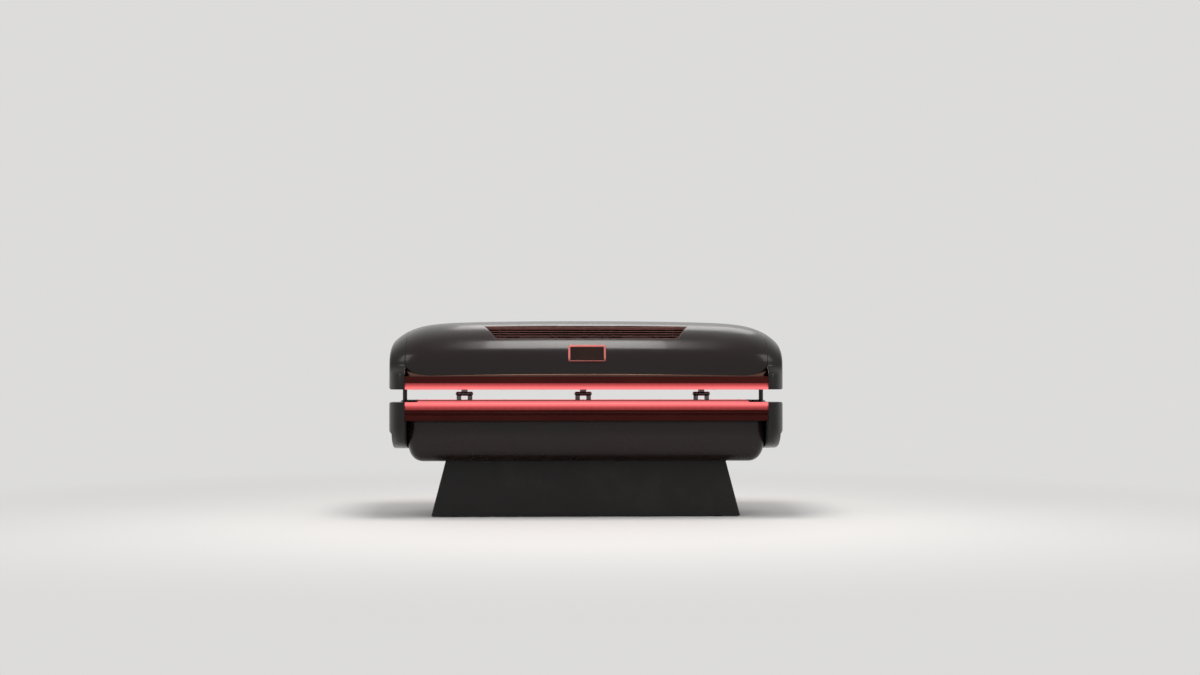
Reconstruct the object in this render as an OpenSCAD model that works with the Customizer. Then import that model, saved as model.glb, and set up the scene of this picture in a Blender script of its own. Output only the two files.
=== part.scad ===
// Light therapy pod: a bench and a hinged lid with rows of lamps behind clear panels.
// X runs along the pod, -Y is the front, +Z is up, and Z = 0 is the floor.

/* [Overall] */
// Length of the light bands, between the end caps
band_l = 2110; // [1900:10:2300]
// Thickness of one end cap, along the pod
cap_t = 100; // [85:5:120]
// Depth over the light bands, front to rear
pod_w = 1130; // [1080:10:1200]
// Depth of one light band, front to rear
band_w = 60; // [50:1:70]
// Wall thickness of the moulded shells
wall = 5; // [4:0.5:6]
// Gap between pieces that seat on each other
fit = 0.3; // [0.2:0.05:0.4]

/* [Pedestal] */
// Height of the rubber feet
foot_h = 12; // [8:1:20]
// Radius of the rubber feet
foot_r = 30; // [20:1:38]
// Height of the pedestal above its feet
ped_h = 318; // [280:1:360]
// Length of the pedestal at its top
ped_top_l = 1668; // [1500:2:1740]
// Added length of the pedestal at its foot
ped_flare = 166; // [100:2:240]
// Depth of the pedestal at its top
ped_top_w = 605; // [560:5:700]
// How far the front panel leans forward at its foot
ped_lean = 20; // [0:1:60]
// Thickness of the pedestal's sheet panels
sheet_t = 3; // [2:0.5:4]
// Width of the square steel tubes in the base frame
tube_w = 40; // [30:1:50]

/* [Bench] */
// Height of the tub, from its flat bottom to its rim
tub_h = 245; // [220:1:280]
// Width of the tub's flat bottom
tub_flat = 600; // [560:5:640]
// Length of the tub
tub_l = 2090; // [1900:10:2100]
// Corner radius of the tub's ends
tub_corner = 80; // [50:5:110]
// Height of the bench rail below its light
rail_h = 63; // [55:1:75]
// Height of the bench's light band
light_h = 45; // [38:1:55]
// Distance from the light band's inner side to the lying surface
trough_inset = 145; // [130:5:170]
// Depth of the lying surface below its edges
trough_d = 85; // [70:1:95]
// Height of the lying surface's edges below the rim
trough_drop = 8; // [5:1:12]
// How far the bench end caps reach below the rim
wing_h = 283; // [260:1:300]

/* [Lid] */
// Gap between the closed lid and the bench
gap = 74; // [70:1:84]
// Height of the lid's light band
lid_light_h = 38; // [32:1:45]
// Height of the lid rail above its light
lid_rail_h = 38; // [32:1:45]
// Height of the dome's widest line above the lid rail
belt_h = 67; // [60:1:80]
// Height of the dome above its widest line
dome_h = 270; // [250:1:300]
// How far the dome's widest line lies behind the light band's front
dome_inset = 9; // [5:1:15]
// Fall of the dome's crest, spread over its length
crown_drop = 20; // [5:1:30]
// Fall of the dome's crest close to its ends
end_drop = 110; // [80:1:130]
// How far the dome's front draws in close to its ends
end_tuck = 100; // [60:1:110]
// Distance from the light band's inner side to the arch over the person
arch_inset = 115; // [105:5:125]
// Rise of the arch above its edges
arch_h = 273; // [255:1:280]
// Angle to which the lid opens
lid_angle = 55; // [40:1:55]

/* [Vents and display] */
// Height of the vents' lower edge above the dome's widest line
vent_low = 152; // [140:1:160]
// Height of the vents' upper edge above the dome's widest line
vent_high = 233; // [225:1:238]
// Length of the vents' upper edge
vent_top_l = 1206; // [1150:2:1240]
// Length of the vents' lower edge
vent_bottom_l = 1082; // [1000:2:1100]
// Number of louvre slats
slats = 5; // [4:1:6]
// Width of the display
display_w = 218; // [180:1:260]
// Height of the display
display_h = 106; // [90:1:112]
// Width of the display's bezel
bezel_w = 11; // [8:1:16]

/* [Lamps] */
// Thickness of the clear panels
acrylic_t = 8; // [5:0.5:8]
// Distance from a clear panel to the lamp boards
lamp_gap = 22; // [18:1:26]
// Thickness of a lamp board
board_t = 4; // [3:1:8]
// Depth of the cooling fins behind a lamp board
fin_h = 18; // [12:1:20]

/* [Hinge and springs] */
// Radius of a hinge knuckle
knuckle_r = 14; // [12:0.5:16]
// Radius of a hinge pin
pin_r = 6; // [5:0.25:7]
// Running clearance on pins and rods, on the radius
run = 0.05; // [0.03:0.01:0.08]
// Distance of the gas springs in front of the hinge line
spring_y = 125; // [115:1:135]
// Half the distance between the ends of a closed gas spring
spring_z = 150; // [140:1:160]
// Outer radius of a gas spring's cylinder
spring_r = 14; // [12:0.5:15]
// Radius of a gas spring's rod
rod_r = 7; // [6:0.5:8]

/* [Fans and service panel] */
// Width of a cooling fan
fan_w = 120; // [110:1:130]
// Depth of a cooling fan
fan_t = 25; // [20:1:28]
// Length of the service panel at the rear
panel_l = 760; // [600:10:900]
// Height of the service panel
panel_h = 190; // [160:5:210]
// Angle that the power rocker turns
rocker_angle = 14; // [8:1:16]

/* [Hidden] */
$fn = 64;

// Heights above the floor
z_tub = foot_h + ped_h;
z_rail = z_tub + tub_h;
z_light = z_rail + rail_h;
z_rim = z_light + light_h;
z_lid = z_rim + gap;
z_lid_rail = z_lid + lid_light_h;
z_belt = z_lid_rail + lid_rail_h;
z_wide = z_belt + belt_h;
z_top = z_wide + dome_h;

// Places along and across the pod
half_band = band_l / 2;
half_l = half_band + cap_t;
front_y = pod_w / 2;
inner_y = front_y - band_w;
tub_w = 2 * inner_y;
dome_w = pod_w - 2 * dome_inset;
trough_w = 2 * (inner_y - trough_inset);
arch_w = 2 * (inner_y - arch_inset);
cap_x = half_band + fit;
plate_t = 4;
plate_x = half_band - fit - plate_t;
lamp_l = band_l - 40;
rib_pitch = lamp_l / 4;
cap_wall = 6;
edge_r = 16;
leaf_t = 6;

// Hinge line and gas springs
hinge_y = inner_y;
hinge_z = z_rim + gap / 2;
spring_x = half_l - 25;
spring_line_y = hinge_y - spring_y;
eye_w = 16;
cylinder_l = 235;
rod_l = 240;

// Dome outline
dome_n = 2.3;
end_power = 11;
sill_h = 14;
sill_dip = 8;
sill_rise = 28;
dip_x = 900;
dome_steps = 26;

// Lying surface and arch, as circles seen from the end
trough_z = z_rim - trough_drop;
trough_r = (pow(trough_w / 2, 2) + pow(trough_d, 2)) / (2 * trough_d);
trough_c = trough_z - trough_d + trough_r;
arch_r = (pow(arch_w / 2, 2) + pow(arch_h, 2)) / (2 * arch_h);
arch_c = z_lid + arch_h - arch_r;
trough_board_r = trough_r + acrylic_t + lamp_gap;
arch_board_r = arch_r + lamp_gap;
bench_rows = 5;
lid_rows = 7;
bench_step = 2 * asin(trough_w / 2 / trough_r) / bench_rows;
lid_step = 2 * asin(arch_w / 2 / arch_r) / lid_rows;
board_gap = 6;
bench_board_w = 2 * trough_board_r * tan(bench_step / 2) - board_gap;
lid_board_w = 2 * arch_board_r * tan(lid_step / 2) - board_gap;

// Openings in the end caps
mouth_lip = 20;
lid_mouth_lip = 70;
mouth_drop = 102;
bench_mouth_r = trough_r - mouth_lip;
lid_mouth_r = arch_r - lid_mouth_lip;
lid_mouth_c = z_lid - mouth_drop;
cap_tuck = 102;
cap_back = 3;

function sup(v, n) = sign(v) * pow(abs(v), 2 / n);
function end_share(x) = pow(abs(x) / half_l, end_power);
function crest_z(x) = z_top - crown_drop * pow(x / half_l, 2) - end_drop * end_share(x);
function dome_half(x) = dome_w / 2 - end_tuck * end_share(x);
function sill_z(x) =
    let (past = max(abs(x) - dip_x, 0) / (half_band - dip_x))
    z_belt + sill_h - sill_dip * pow(min(abs(x) / dip_x, 1), 2) + sill_rise * past * past;
function dome_arc(x, inset, steps) = [
    for (i = [0:steps])
        let (t = 180 * i / steps, half = dome_half(x) - inset, rise = crest_z(x) - z_wide - inset)
        [half * sup(cos(t), dome_n), z_wide + rise * sup(sin(t), dome_n)]
];
function dome_y(z) = -dome_w / 2 * pow(1 - pow((z - z_wide) / dome_h, dome_n), 1 / dome_n);
function under_dome(x, inset, z) =
    let (y = dome_half(x) - inset - 6)
    concat([[y, z]], dome_arc(x, inset, dome_steps), [[-y, z]]);
function circle_arc(cz, r, a0, a1, steps) = [
    for (i = [0:steps])
        let (a = a0 + (a1 - a0) * i / steps)
        [r * cos(a), cz + r * sin(a)]
];
function ring(x, out, back) = concat(
    [for (p = out) [x, p[0], p[1]]],
    [for (i = [len(back) - 1:-1:0]) [x, back[i][0], back[i][1]]]
);
function stations(l, n) = [for (i = [-n:n]) l * sin(90 * i / n)];

// A body swept through rings of points, each ring made of two chains of equal length.
module loft(rings) {
    m = len(rings[0]);
    n = len(rings);
    skin = [
        for (i = [0:n - 2], j = [0:m - 1])
            let (a = i * m + j, b = i * m + (j + 1) % m)
            each [[a, a + m, b + m], [a, b + m, b]]
    ];
    first = [for (j = [0:m / 2 - 2]) each [[j, j + 1, m - 2 - j], [j, m - 2 - j, m - 1 - j]]];
    last = [
        for (f = first)
            [f[0] + (n - 1) * m, f[2] + (n - 1) * m, f[1] + (n - 1) * m]
    ];
    polyhedron(points = [for (r = rings) each r], faces = concat(skin, first, last), convexity = 10);
}

// An outline given in Y and Z, extruded along X from x to x + l.
module along_x(x, l) {
    translate([x, 0, 0])
        rotate([90, 0, 90])
            linear_extrude(l, convexity = 8) children();
}

module both_ends() {
    children();
    mirror([1, 0, 0]) children();
}

module both_sides() {
    children();
    mirror([0, 1, 0]) children();
}

// Square steel tube along X, Y or Z, from a corner.
module tube(size, t = 3) {
    long = max(size);
    difference() {
        cube(size);
        translate([for (s = size) s == long ? -1 : t])
            cube([for (s = size) s == long ? s + 2 : s - 2 * t]);
    }
}

// Pedestal

foot_x = ped_top_l / 2 - foot_r - 12;
foot_y = ped_top_w / 2 - foot_r - 10;

module foot_pads() {
    color("#151515")
        for (x = [-foot_x, 0, foot_x], y = [-foot_y, foot_y])
            translate([x, y, 0])
                rotate_extrude()
                    polygon([
                        [0, 0], [foot_r - 3, 0], [foot_r, 3], [foot_r - 2, foot_h - fit], [0, foot_h - fit]
                    ]);
}

frame_l = ped_top_l - 2 * sheet_t - 2 * fit;
frame_w = ped_top_w - 2 * sheet_t - 2 * fit;
ped_rear = ped_top_w / 2;

module base_frame() {
    color("#3a3a3c") {
        for (z = [foot_h, z_tub - fit - tube_w]) {
            for (y = [-frame_w / 2, frame_w / 2 - tube_w])
                translate([-frame_l / 2, y, z]) tube([frame_l, tube_w, tube_w]);
            for (x = [-frame_l / 2, -tube_w / 2, frame_l / 2 - tube_w])
                translate([x, -frame_w / 2 + tube_w, z]) tube([tube_w, frame_w - 2 * tube_w, tube_w]);
        }
        for (x = [-frame_l / 2, frame_l / 2 - tube_w], y = [-frame_w / 2, frame_w / 2 - tube_w])
            translate([x, y, foot_h + tube_w]) tube([tube_w, tube_w, ped_h - fit - 2 * tube_w]);
    }
}

module pedestal_block(inset, low, high) {
    intersection() {
        translate([0, ped_top_w, 0])
            rotate([90, 0, 0])
                linear_extrude(2 * ped_top_w)
                    polygon([
                        [-ped_top_l / 2 - ped_flare / 2 + inset, low], [ped_top_l / 2 + ped_flare / 2 - inset, low],
                        [ped_top_l / 2 - inset, high], [-ped_top_l / 2 + inset, high]
                    ]);
        along_x(-half_l, 2 * half_l)
            polygon([
                [-ped_rear - ped_lean + inset, low], [ped_rear - inset, low],
                [ped_rear - inset, high], [-ped_rear + inset, high]
            ]);
    }
}

panel_z = foot_h + tube_w + 20;

module pedestal_shell() {
    color("#0d0c0c")
        difference() {
            pedestal_block(0, foot_h - 6, z_tub - fit);
            pedestal_block(sheet_t, foot_h - 7, z_tub + 1);
            translate([-panel_l / 2, ped_rear - sheet_t - 1, panel_z])
                cube([panel_l, sheet_t + 2, panel_h]);
        }
}

screw_inset = 12;
inlet_x = panel_l / 2 - 80;
switch_x = panel_l / 2 - 160;
service_z = panel_z + panel_h / 2;
inlet_w = 28;
inlet_h = 48;
switch_w = 30;
switch_h = 22;
louvre_pitch = 16;

module rear_service_panel() {
    louvres = floor((panel_h - 60) / louvre_pitch);
    color("#161515")
        difference() {
            translate([-panel_l / 2 + fit, ped_rear - sheet_t, panel_z + fit])
                cube([panel_l - 2 * fit, sheet_t, panel_h - 2 * fit]);
            for (i = [0:louvres - 1], x = [-panel_l / 2 + 50, -panel_l / 2 + 290])
                translate([x, ped_rear - sheet_t - 1, panel_z + 35 + i * louvre_pitch])
                    cube([210, sheet_t + 2, 6]);
            translate([inlet_x - inlet_w / 2 - fit, ped_rear - sheet_t - 1, service_z - inlet_h / 2 - fit])
                cube([inlet_w + 2 * fit, sheet_t + 2, inlet_h + 2 * fit]);
            translate([switch_x - switch_w / 2 - fit, ped_rear - sheet_t - 1, service_z - switch_h / 2 - fit])
                cube([switch_w + 2 * fit, sheet_t + 2, switch_h + 2 * fit]);
        }
}

module panel_screws() {
    color("#8a8a8c")
        for (x = [-1, 0, 1], z = [0, 1])
            translate([
                x * (panel_l / 2 - screw_inset), ped_rear + fit, panel_z + screw_inset + z * (panel_h - 2 * screw_inset)
            ])
                rotate([-90, 0, 0])
                    difference() {
                        rotate_extrude()
                            polygon([[0, 0], [5, 0], [5, 1], [3.5, 2.4], [0, 2.4]]);
                        translate([0, 0, 1.2]) cylinder(r = 1.7, h = 2, $fn = 6);
                    }
}

module mains_inlet() {
    color("#101010")
        translate([inlet_x, ped_rear, service_z])
            rotate([90, 0, 0])
                difference() {
                    union() {
                        translate([-inlet_w / 2, -inlet_h / 2, 0]) cube([inlet_w, inlet_h, 32]);
                        translate([-inlet_w / 2 - 4, -inlet_h / 2 - 4, -2.5 - fit])
                            cube([inlet_w + 8, inlet_h + 8, 2.5]);
                        translate([-inlet_w / 2, -inlet_h / 2, -fit - 1]) cube([inlet_w, inlet_h, fit + 2]);
                    }
                    translate([-inlet_w / 2 + 4, -inlet_h / 2 + 12, -5]) cube([inlet_w - 8, inlet_h - 24, 22]);
                }
}

rocker_r = 11;
rocker_y = ped_rear - 4;

module switch_housing() {
    color("#101010")
        difference() {
            translate([switch_x, ped_rear, service_z])
                rotate([90, 0, 0])
                    union() {
                        translate([-switch_w / 2, -switch_h / 2, 0]) cube([switch_w, switch_h, 26]);
                        translate([-switch_w / 2 - 3, -switch_h / 2 - 3, -2.5 - fit])
                            cube([switch_w + 6, switch_h + 6, 2.5]);
                        translate([-switch_w / 2, -switch_h / 2, -fit - 1]) cube([switch_w, switch_h, fit + 2]);
                    }
            translate([switch_x - rocker_r - 1, rocker_y - 12, service_z - 7.5])
                cube([2 * rocker_r + 2, 30, 15]);
            translate([switch_x, rocker_y, service_z - 10]) cylinder(r = 1.5 + run, h = 20);
        }
}

module power_rocker() {
    color("#7a1512")
        translate([switch_x, rocker_y, service_z])
            rotate([0, 0, -rocker_angle / 2]) {
                translate([0, 0, -6.8])
                    linear_extrude(13.6)
                        polygon([
                            [-rocker_r, 5], [0, 3.4], [rocker_r, 5], [rocker_r - 2, -3], [0, -7], [-rocker_r + 2, -3]
                        ]);
                translate([0, 0, -9.5]) cylinder(r = 1.5, h = 19);
            }
}

tray_z = foot_h + tube_w + fit;
tray_t = 2;
tray_top = tray_z + tray_t + fit;
psu_l = 215;
psu_w = 115;
psu_h = 50;
psu_pitch = 300;
pcb_l = 200;
pcb_w = 120;
stand_h = 10;
side_room = 60;

module base_tray() {
    color("#6a6a6c")
        difference() {
            translate([-frame_l / 2 + tube_w + fit, -frame_w / 2 + tube_w / 2, tray_z])
                cube([frame_l - 2 * tube_w - 2 * fit, frame_w - tube_w, tray_t]);
            for (x = [-frame_l * 0.3, frame_l * 0.3])
                translate([x, 0, tray_z - 1]) cylinder(r = 45, h = tray_t + 2);
        }
}

module power_supplies() {
    color("#9a9a9c")
        for (x = [-psu_pitch, 0, psu_pitch])
            translate([x - psu_l / 2, -frame_w / 2 + tube_w + side_room, tray_top])
                difference() {
                    cube([psu_l, psu_w, psu_h]);
                    for (i = [1:10])
                        translate([i * psu_l / 11 - 4, -1, 8]) cube([8, 4, psu_h - 16]);
                }
}

module control_board() {
    color("#1d5a35")
        translate([-pcb_l / 2, frame_w / 2 - tube_w - side_room - pcb_w, tray_top]) {
            translate([0, 0, stand_h]) cube([pcb_l, pcb_w, 1.6]);
            for (x = [6, pcb_l - 6], y = [6, pcb_w - 6])
                translate([x, y, 0]) cylinder(r = 4, h = stand_h + 0.5);
            translate([pcb_l * 0.15, pcb_w * 0.25, stand_h + 1]) cube([40, 30, 12]);
            translate([pcb_l * 0.55, pcb_w * 0.17, stand_h + 1]) cube([50, 20, 18]);
            translate([pcb_l * 0.5, pcb_w * 0.58, stand_h + 1]) cube([70, 30, 8]);
        }
}

// Bench tub: a flat bottom, rounded bilges and rounded ends

tub_n = 2.2;
tub_steps = 13;
z_bilge = z_rail - 55;
fan_x = 300;

function tub_inset(x) =
    let (s = max(0, (abs(x) - tub_l / 2 + tub_corner) / tub_corner))
    tub_corner * (1 - sqrt(max(0, 1 - s * s)));
function tub_side(x, inset, top) =
    let (
        e = tub_inset(abs(x) + inset),
        low = z_tub + e + inset,
        half = tub_w / 2 - inset - e / 2,
        flat = tub_flat / 2
    )
    concat(
        [[half - 5, top]],
        [
            for (i = [0:tub_steps])
                let (t = 90 * i / tub_steps)
                [flat + (half - flat) * sup(cos(t), tub_n), z_bilge - (z_bilge - low) * sup(sin(t), tub_n)]
        ]
    );
function tub_ring(x, inset, top) =
    let (side = tub_side(x, inset, top))
    concat(
        [for (p = side) [x, -p[0], p[1]]],
        [for (i = [len(side) - 1:-1:0]) [x, side[i][0], side[i][1]]]
    );
function tub_stations(half) = concat(
    [for (i = [0:5]) -half + tub_corner * (1 - cos(18 * i))],
    [for (i = [5:-1:0]) half - tub_corner * (1 - cos(18 * i))]
);

module tub_shell() {
    top = z_rail - fit;
    color("#120e0e")
        difference() {
            loft([for (x = tub_stations(tub_l / 2)) tub_ring(x, 0, top)]);
            loft([for (x = tub_stations(tub_l / 2 - wall)) tub_ring(x, wall, top + 1)]);
            for (x = [-fan_x, fan_x])
                translate([x, 0, z_tub - 1]) cylinder(r = fan_w / 2 - 4, h = wall + 2);
            translate([-tub_l / 2 - 1, 0, trough_c])
                rotate([0, 90, 0]) cylinder(r = bench_seat_r + fin_h + 4, h = tub_l + 2, $fn = 200);
        }
}

// Bench frame: beams on the tub's floor, upper rails, ribs and end plates

upper_y = inner_y - fit;
upper_w = 40;
beam_h = 60;
rib_t = 4;

function polygon_row(c, r, rows, step, middle) = [
    for (i = [0:rows])
        let (a = middle + step * (i - rows / 2))
        [r / cos(step / 2) * cos(a), c + r / cos(step / 2) * sin(a)]
];

// Folded flange along the edge of a rib or end plate, on which the lamp boards' ends lie.
flange_t = 5;
flange_w = 24;
module seat_flange(x, w, c, r, rows, step, middle) {
    back = polygon_row(c, r, rows, step, middle);
    front = polygon_row(c, r + flange_t, rows, step, middle);
    along_x(x, w)
        polygon(concat(front, [for (i = [rows:-1:0]) back[i]]));
}

bench_seat_r = trough_board_r + board_t + fit;
lid_seat_r = arch_board_r + board_t + fit;

module bench_flange(x, w) {
    seat_flange(x, w, trough_c, bench_seat_r, bench_rows, bench_step, -90);
}

module lid_flange(x, w) {
    seat_flange(x, w, arch_c, lid_seat_r, lid_rows, lid_step, 90);
}

// Room in a frame for the leaves of the hinges.
module hinge_pockets(low, high) {
    w = knuckle_w + 2 * side_w + 4 * fit;
    for (x = hinge_x)
        translate([x - w / 2, inner_y - leaf_t - 2 * fit, low]) cube([w, leaf_t + 10, high - low]);
}

module bench_rib(x) {
    seat = polygon_row(trough_c, bench_seat_r, bench_rows, bench_step, -90);
    deck_z = trough_z - 3 - fit;
    along_x(x, rib_t)
        difference() {
            polygon(concat(
                [[-upper_y + 10, deck_z], [-trough_w / 2 - 30, deck_z]],
                seat,
                [
                    [trough_w / 2 + 30, deck_z], [upper_y - 10, deck_z],
                    [upper_y - 10, z_rail + 20], [upper_y - upper_w - fit, z_rail - 2],
                    [tub_flat / 2 + 130, z_tub + 135], [tub_flat / 2 - 20, z_tub + beam_h],
                    [-tub_flat / 2 + 20, z_tub + beam_h], [-tub_flat / 2 - 130, z_tub + 135],
                    [-upper_y + upper_w + fit, z_rail - 2], [-upper_y + 10, z_rail + 20]
                ]
            ));
            for (y = [-220, -110, 0, 110, 220])
                translate([y, z_tub + beam_h + 60]) circle(r = 30);
        }
}

function bench_cap_out(x, inset) =
    let (
        s = max(0, (x - half_l + edge_r) / edge_r),
        e = inset + edge_r * (1 - sqrt(max(0, 1 - s * s))),
        half = front_y - cap_back - cap_tuck * pow(max(x - half_band, 0) / cap_t, 2.5) - e,
        top = z_rim - e
    )
    concat(
        [[-half, top]],
        [
            for (i = [0:24])
                let (t = 180 + 180 * i / 24)
                [half * sup(cos(t), 3.2), z_rail + (wing_h - (z_rim - z_rail) - e) * sup(sin(t), 3.2)]
        ],
        [[half, top]]
    );
function bench_mouth(x, inset) =
    let (
        s = max(0, (x - half_l + edge_r) / edge_r),
        e = inset + edge_r * (1 - sqrt(max(0, 1 - s * s))),
        r = bench_mouth_r + e,
        a = acos((trough_c - z_rim + e) / r)
    )
    circle_arc(trough_c, r, -90 - a, -90 + a, 26);
function cap_stations() = concat(
    [for (i = [0:4]) cap_x + (half_l - edge_r - cap_x) * i / 4],
    [for (i = [1:4]) half_l - edge_r + edge_r * sin(22.5 * i)]
);
function tray_stations(last) = [for (i = [0:4]) i == 0 ? half_band - 1 : half_band + (last - half_band) * i / 4];

module bench_end_plate() {
    out = bench_cap_out(half_band, 1);
    mouth = bench_mouth(half_band, 1);
    along_x(plate_x, plate_t)
        difference() {
            polygon(concat(out, [for (i = [len(mouth) - 1:-1:0]) mouth[i]]));
            for (y = [-front_y, upper_y])
                translate([y, z_rail - fit]) square([front_y - upper_y, rail_h + light_h]);
        }
    bench_flange(half_band - 35, 35 - plate_t);
}

module bench_frame() {
    color("#5a5a5c")
        difference() {
            union() {
                both_sides() {
                    translate([-tub_l / 2 + tub_corner + 10, tub_flat / 2 - 70, z_tub + wall + fit])
                        tube([tub_l - 2 * tub_corner - 20, 60, beam_h]);
                    translate([-plate_x - 1, upper_y - upper_w, z_rail])
                        tube([2 * plate_x + 2, upper_w, rail_h]);
                }
                for (x = [-rib_pitch, 0, rib_pitch]) {
                    bench_rib(x - rib_t / 2);
                    bench_flange(x - flange_w / 2, flange_w);
                }
                both_ends() bench_end_plate();
            }
            hinge_pockets(z_rail + 6 - fit, z_rim);
        }
}

// Light bands: rails with a bead and a groove, and hollow translucent noses

function bead_profile(z) = [
    [inner_y, z], [front_y - 6, z], [front_y, z + 6], [front_y, z + 29], [front_y - 8, z + 33],
    [front_y - 8, z + 41], [front_y - 3, z + 44], [front_y, z + 46], [front_y - 3, z + 48],
    [front_y - 5, z + 52], [front_y - 5, z + rail_h - fit], [inner_y, z + rail_h - fit]
];
nose_r = 15;
function nose_profile(z, h, inset) =
    let (far = front_y - inset, near = inner_y + inset, low = z + (inset > 0 ? -1 : 0), high = z + h - inset)
    concat(
        [[near, low], [far, low]],
        [for (i = [0:8]) let (a = 90 * i / 8, r = nose_r - inset) [far - r + r * cos(a), high - r + r * sin(a)]],
        [for (i = [0:5]) let (a = 90 + 90 * i / 5, r = 8 - inset) [near + r + r * cos(a), high - r + r * sin(a)]]
    );

module rail_bar(z, h) {
    along_x(-half_band, band_l)
        difference() {
            polygon(bead_profile(z));
            translate([inner_y + 6, z + 5]) square([band_w - 22, rail_h - 10 - fit]);
        }
}

module light_nose(z, h) {
    along_x(-half_band, band_l)
        difference() {
            polygon(nose_profile(z, h, 0));
            polygon(nose_profile(z, h, 4));
        }
}

module bench_rail_rear() {
    color("#1c1010") rail_bar(z_rail, rail_h);
}

module bench_rail_front() {
    mirror([0, 1, 0]) bench_rail_rear();
}

module bench_light_rear() {
    color("#ff6a6e") light_nose(z_light, light_h);
}

module bench_light_front() {
    mirror([0, 1, 0]) bench_light_rear();
}

module light_strip(z) {
    translate([-half_band + 8, inner_y + 15, z]) cube([band_l - 16, 30, 3]);
    for (i = [-20:20])
        translate([i * 50 - 7, inner_y + 22, z + 2.5]) cube([14, 16, 3.5]);
}

module bench_light_strips() {
    color("#d8d8cf") both_sides() light_strip(z_light);
}

module bench_decks() {
    color("#121111")
        both_sides()
            along_x(-half_band + plate_t + 2, band_l - 2 * plate_t - 4)
                polygon([
                    [trough_w / 2 + 5, trough_z - 3], [inner_y - leaf_t - 3, trough_z - 3],
                    [inner_y - leaf_t - 3, trough_z + 3], [inner_y - leaf_t - 6, trough_z + 6],
                    [trough_w / 2 + 9, trough_z + 6], [trough_w / 2 + 2, trough_z + 2]
                ]);
}

// A curved clear panel: a ring sector between two chords, in the outline plane.
module sector(c, r, t, half, up) {
    intersection() {
        translate([0, c])
            difference() {
                circle(r = r + t, $fn = 240);
                circle(r = r, $fn = 240);
            }
        translate([-half, up ? c : c - r - t - 1]) square([2 * half, r + t + 1]);
    }
}

module bench_acrylic() {
    color("#f4e4e0", 0.35)
        along_x(-plate_x + fit, 2 * plate_x - 2 * fit)
            sector(trough_c, trough_r, acrylic_t, trough_w / 2, false);
}

module lamp_rows(c, r, rows, step, middle, from_x, w) {
    for (k = [-2:1], i = [0:rows - 1])
        translate([k * rib_pitch, 0, c])
            rotate([middle + step * (i - (rows - 1) / 2), 0, 0])
                translate([from_x, r, -w / 2]) children();
}

board_l = rib_pitch - 2;
sink_gap = 17;
sink_inset = 14;
bench_sink_w = bench_board_w - 2 * sink_inset;
lid_sink_w = lid_board_w - 2 * sink_inset;

module bench_lamp_boards() {
    color("#e8e6df")
        lamp_rows(trough_c, trough_board_r, bench_rows, bench_step, -90, 1, bench_board_w)
            cube([board_l, board_t, bench_board_w]);
}

// Finned plate, lying against the back of a lamp board between two ribs.
module heat_sink(w) {
    l = rib_pitch - 2 * sink_gap;
    cube([l, 4, w]);
    for (i = [0:7])
        translate([0, 3, 4 + i * (w - 11) / 7]) cube([l, fin_h - 3, 3]);
}

module bench_heat_sinks() {
    color("#a9abad")
        lamp_rows(trough_c, bench_seat_r, bench_rows, bench_step, -90, sink_gap, bench_sink_w)
            heat_sink(bench_sink_w);
}

// Fans

module fan_frame() {
    difference() {
        translate([-fan_w / 2, -fan_w / 2, 0]) cube([fan_w, fan_w, fan_t]);
        translate([0, 0, 3]) cylinder(r = fan_w / 2 - 3, h = fan_t);
        difference() {
            translate([0, 0, -1]) cylinder(r = fan_w / 2 - 3, h = 5);
            translate([0, 0, -2]) cylinder(r = 22, h = 7);
            for (a = [45, 165, 285])
                rotate([0, 0, a]) translate([0, -4, -2]) cube([fan_w / 2, 8, 7]);
        }
        for (x = [-1, 1], y = [-1, 1])
            translate([x * (fan_w / 2 - 7.5), y * (fan_w / 2 - 7.5), -1]) cylinder(r = 2.2, h = fan_t + 2);
    }
    cylinder(r = 3, h = fan_t - 4);
}

module fan_rotor() {
    difference() {
        union() {
            translate([0, 0, 4]) cylinder(r = 21, h = fan_t - 7);
            for (i = [0:6])
                rotate([0, 0, i * 360 / 7])
                    translate([18, 0, fan_t / 2 + 1])
                        rotate([32, 0, 0])
                            translate([0, -13, -1]) cube([fan_w / 2 - 24, 26, 2]);
        }
        cylinder(r = 3 + run, h = fan_t);
    }
}

module bench_fan_frames() {
    color("#151515")
        for (x = [-fan_x, fan_x])
            translate([x, 0, z_tub + wall + fit]) fan_frame();
}

module bench_fan_rotor(side) {
    color("#232324")
        translate([side * fan_x, 0, z_tub + wall + fit]) fan_rotor();
}

module bench_fan_rotor_left() {
    bench_fan_rotor(-1);
}

module bench_fan_rotor_right() {
    bench_fan_rotor(1);
}

// End caps: rounded trays round the openings at the head and the feet

module spring_slot(flip) {
    stud_z = hinge_z - spring_z;
    low = stud_z - 22;
    high = z_rim + 7;
    side = spring_r + 6;
    swing = (high - stud_z) * tan(lid_angle / 2) + side / cos(lid_angle / 2);
    slot = [
        [spring_line_y - side, low], [spring_line_y + side + 4, low],
        [spring_line_y + swing + 10, high], [spring_line_y - side, high]
    ];
    along_x(spring_x - spring_r - 5, 2 * spring_r + 10)
        polygon([for (p = slot) [p[0], flip ? 2 * hinge_z - p[1] : p[1]]]);
}

step_t = 17;
step_z = z_rim - 186;

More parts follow.
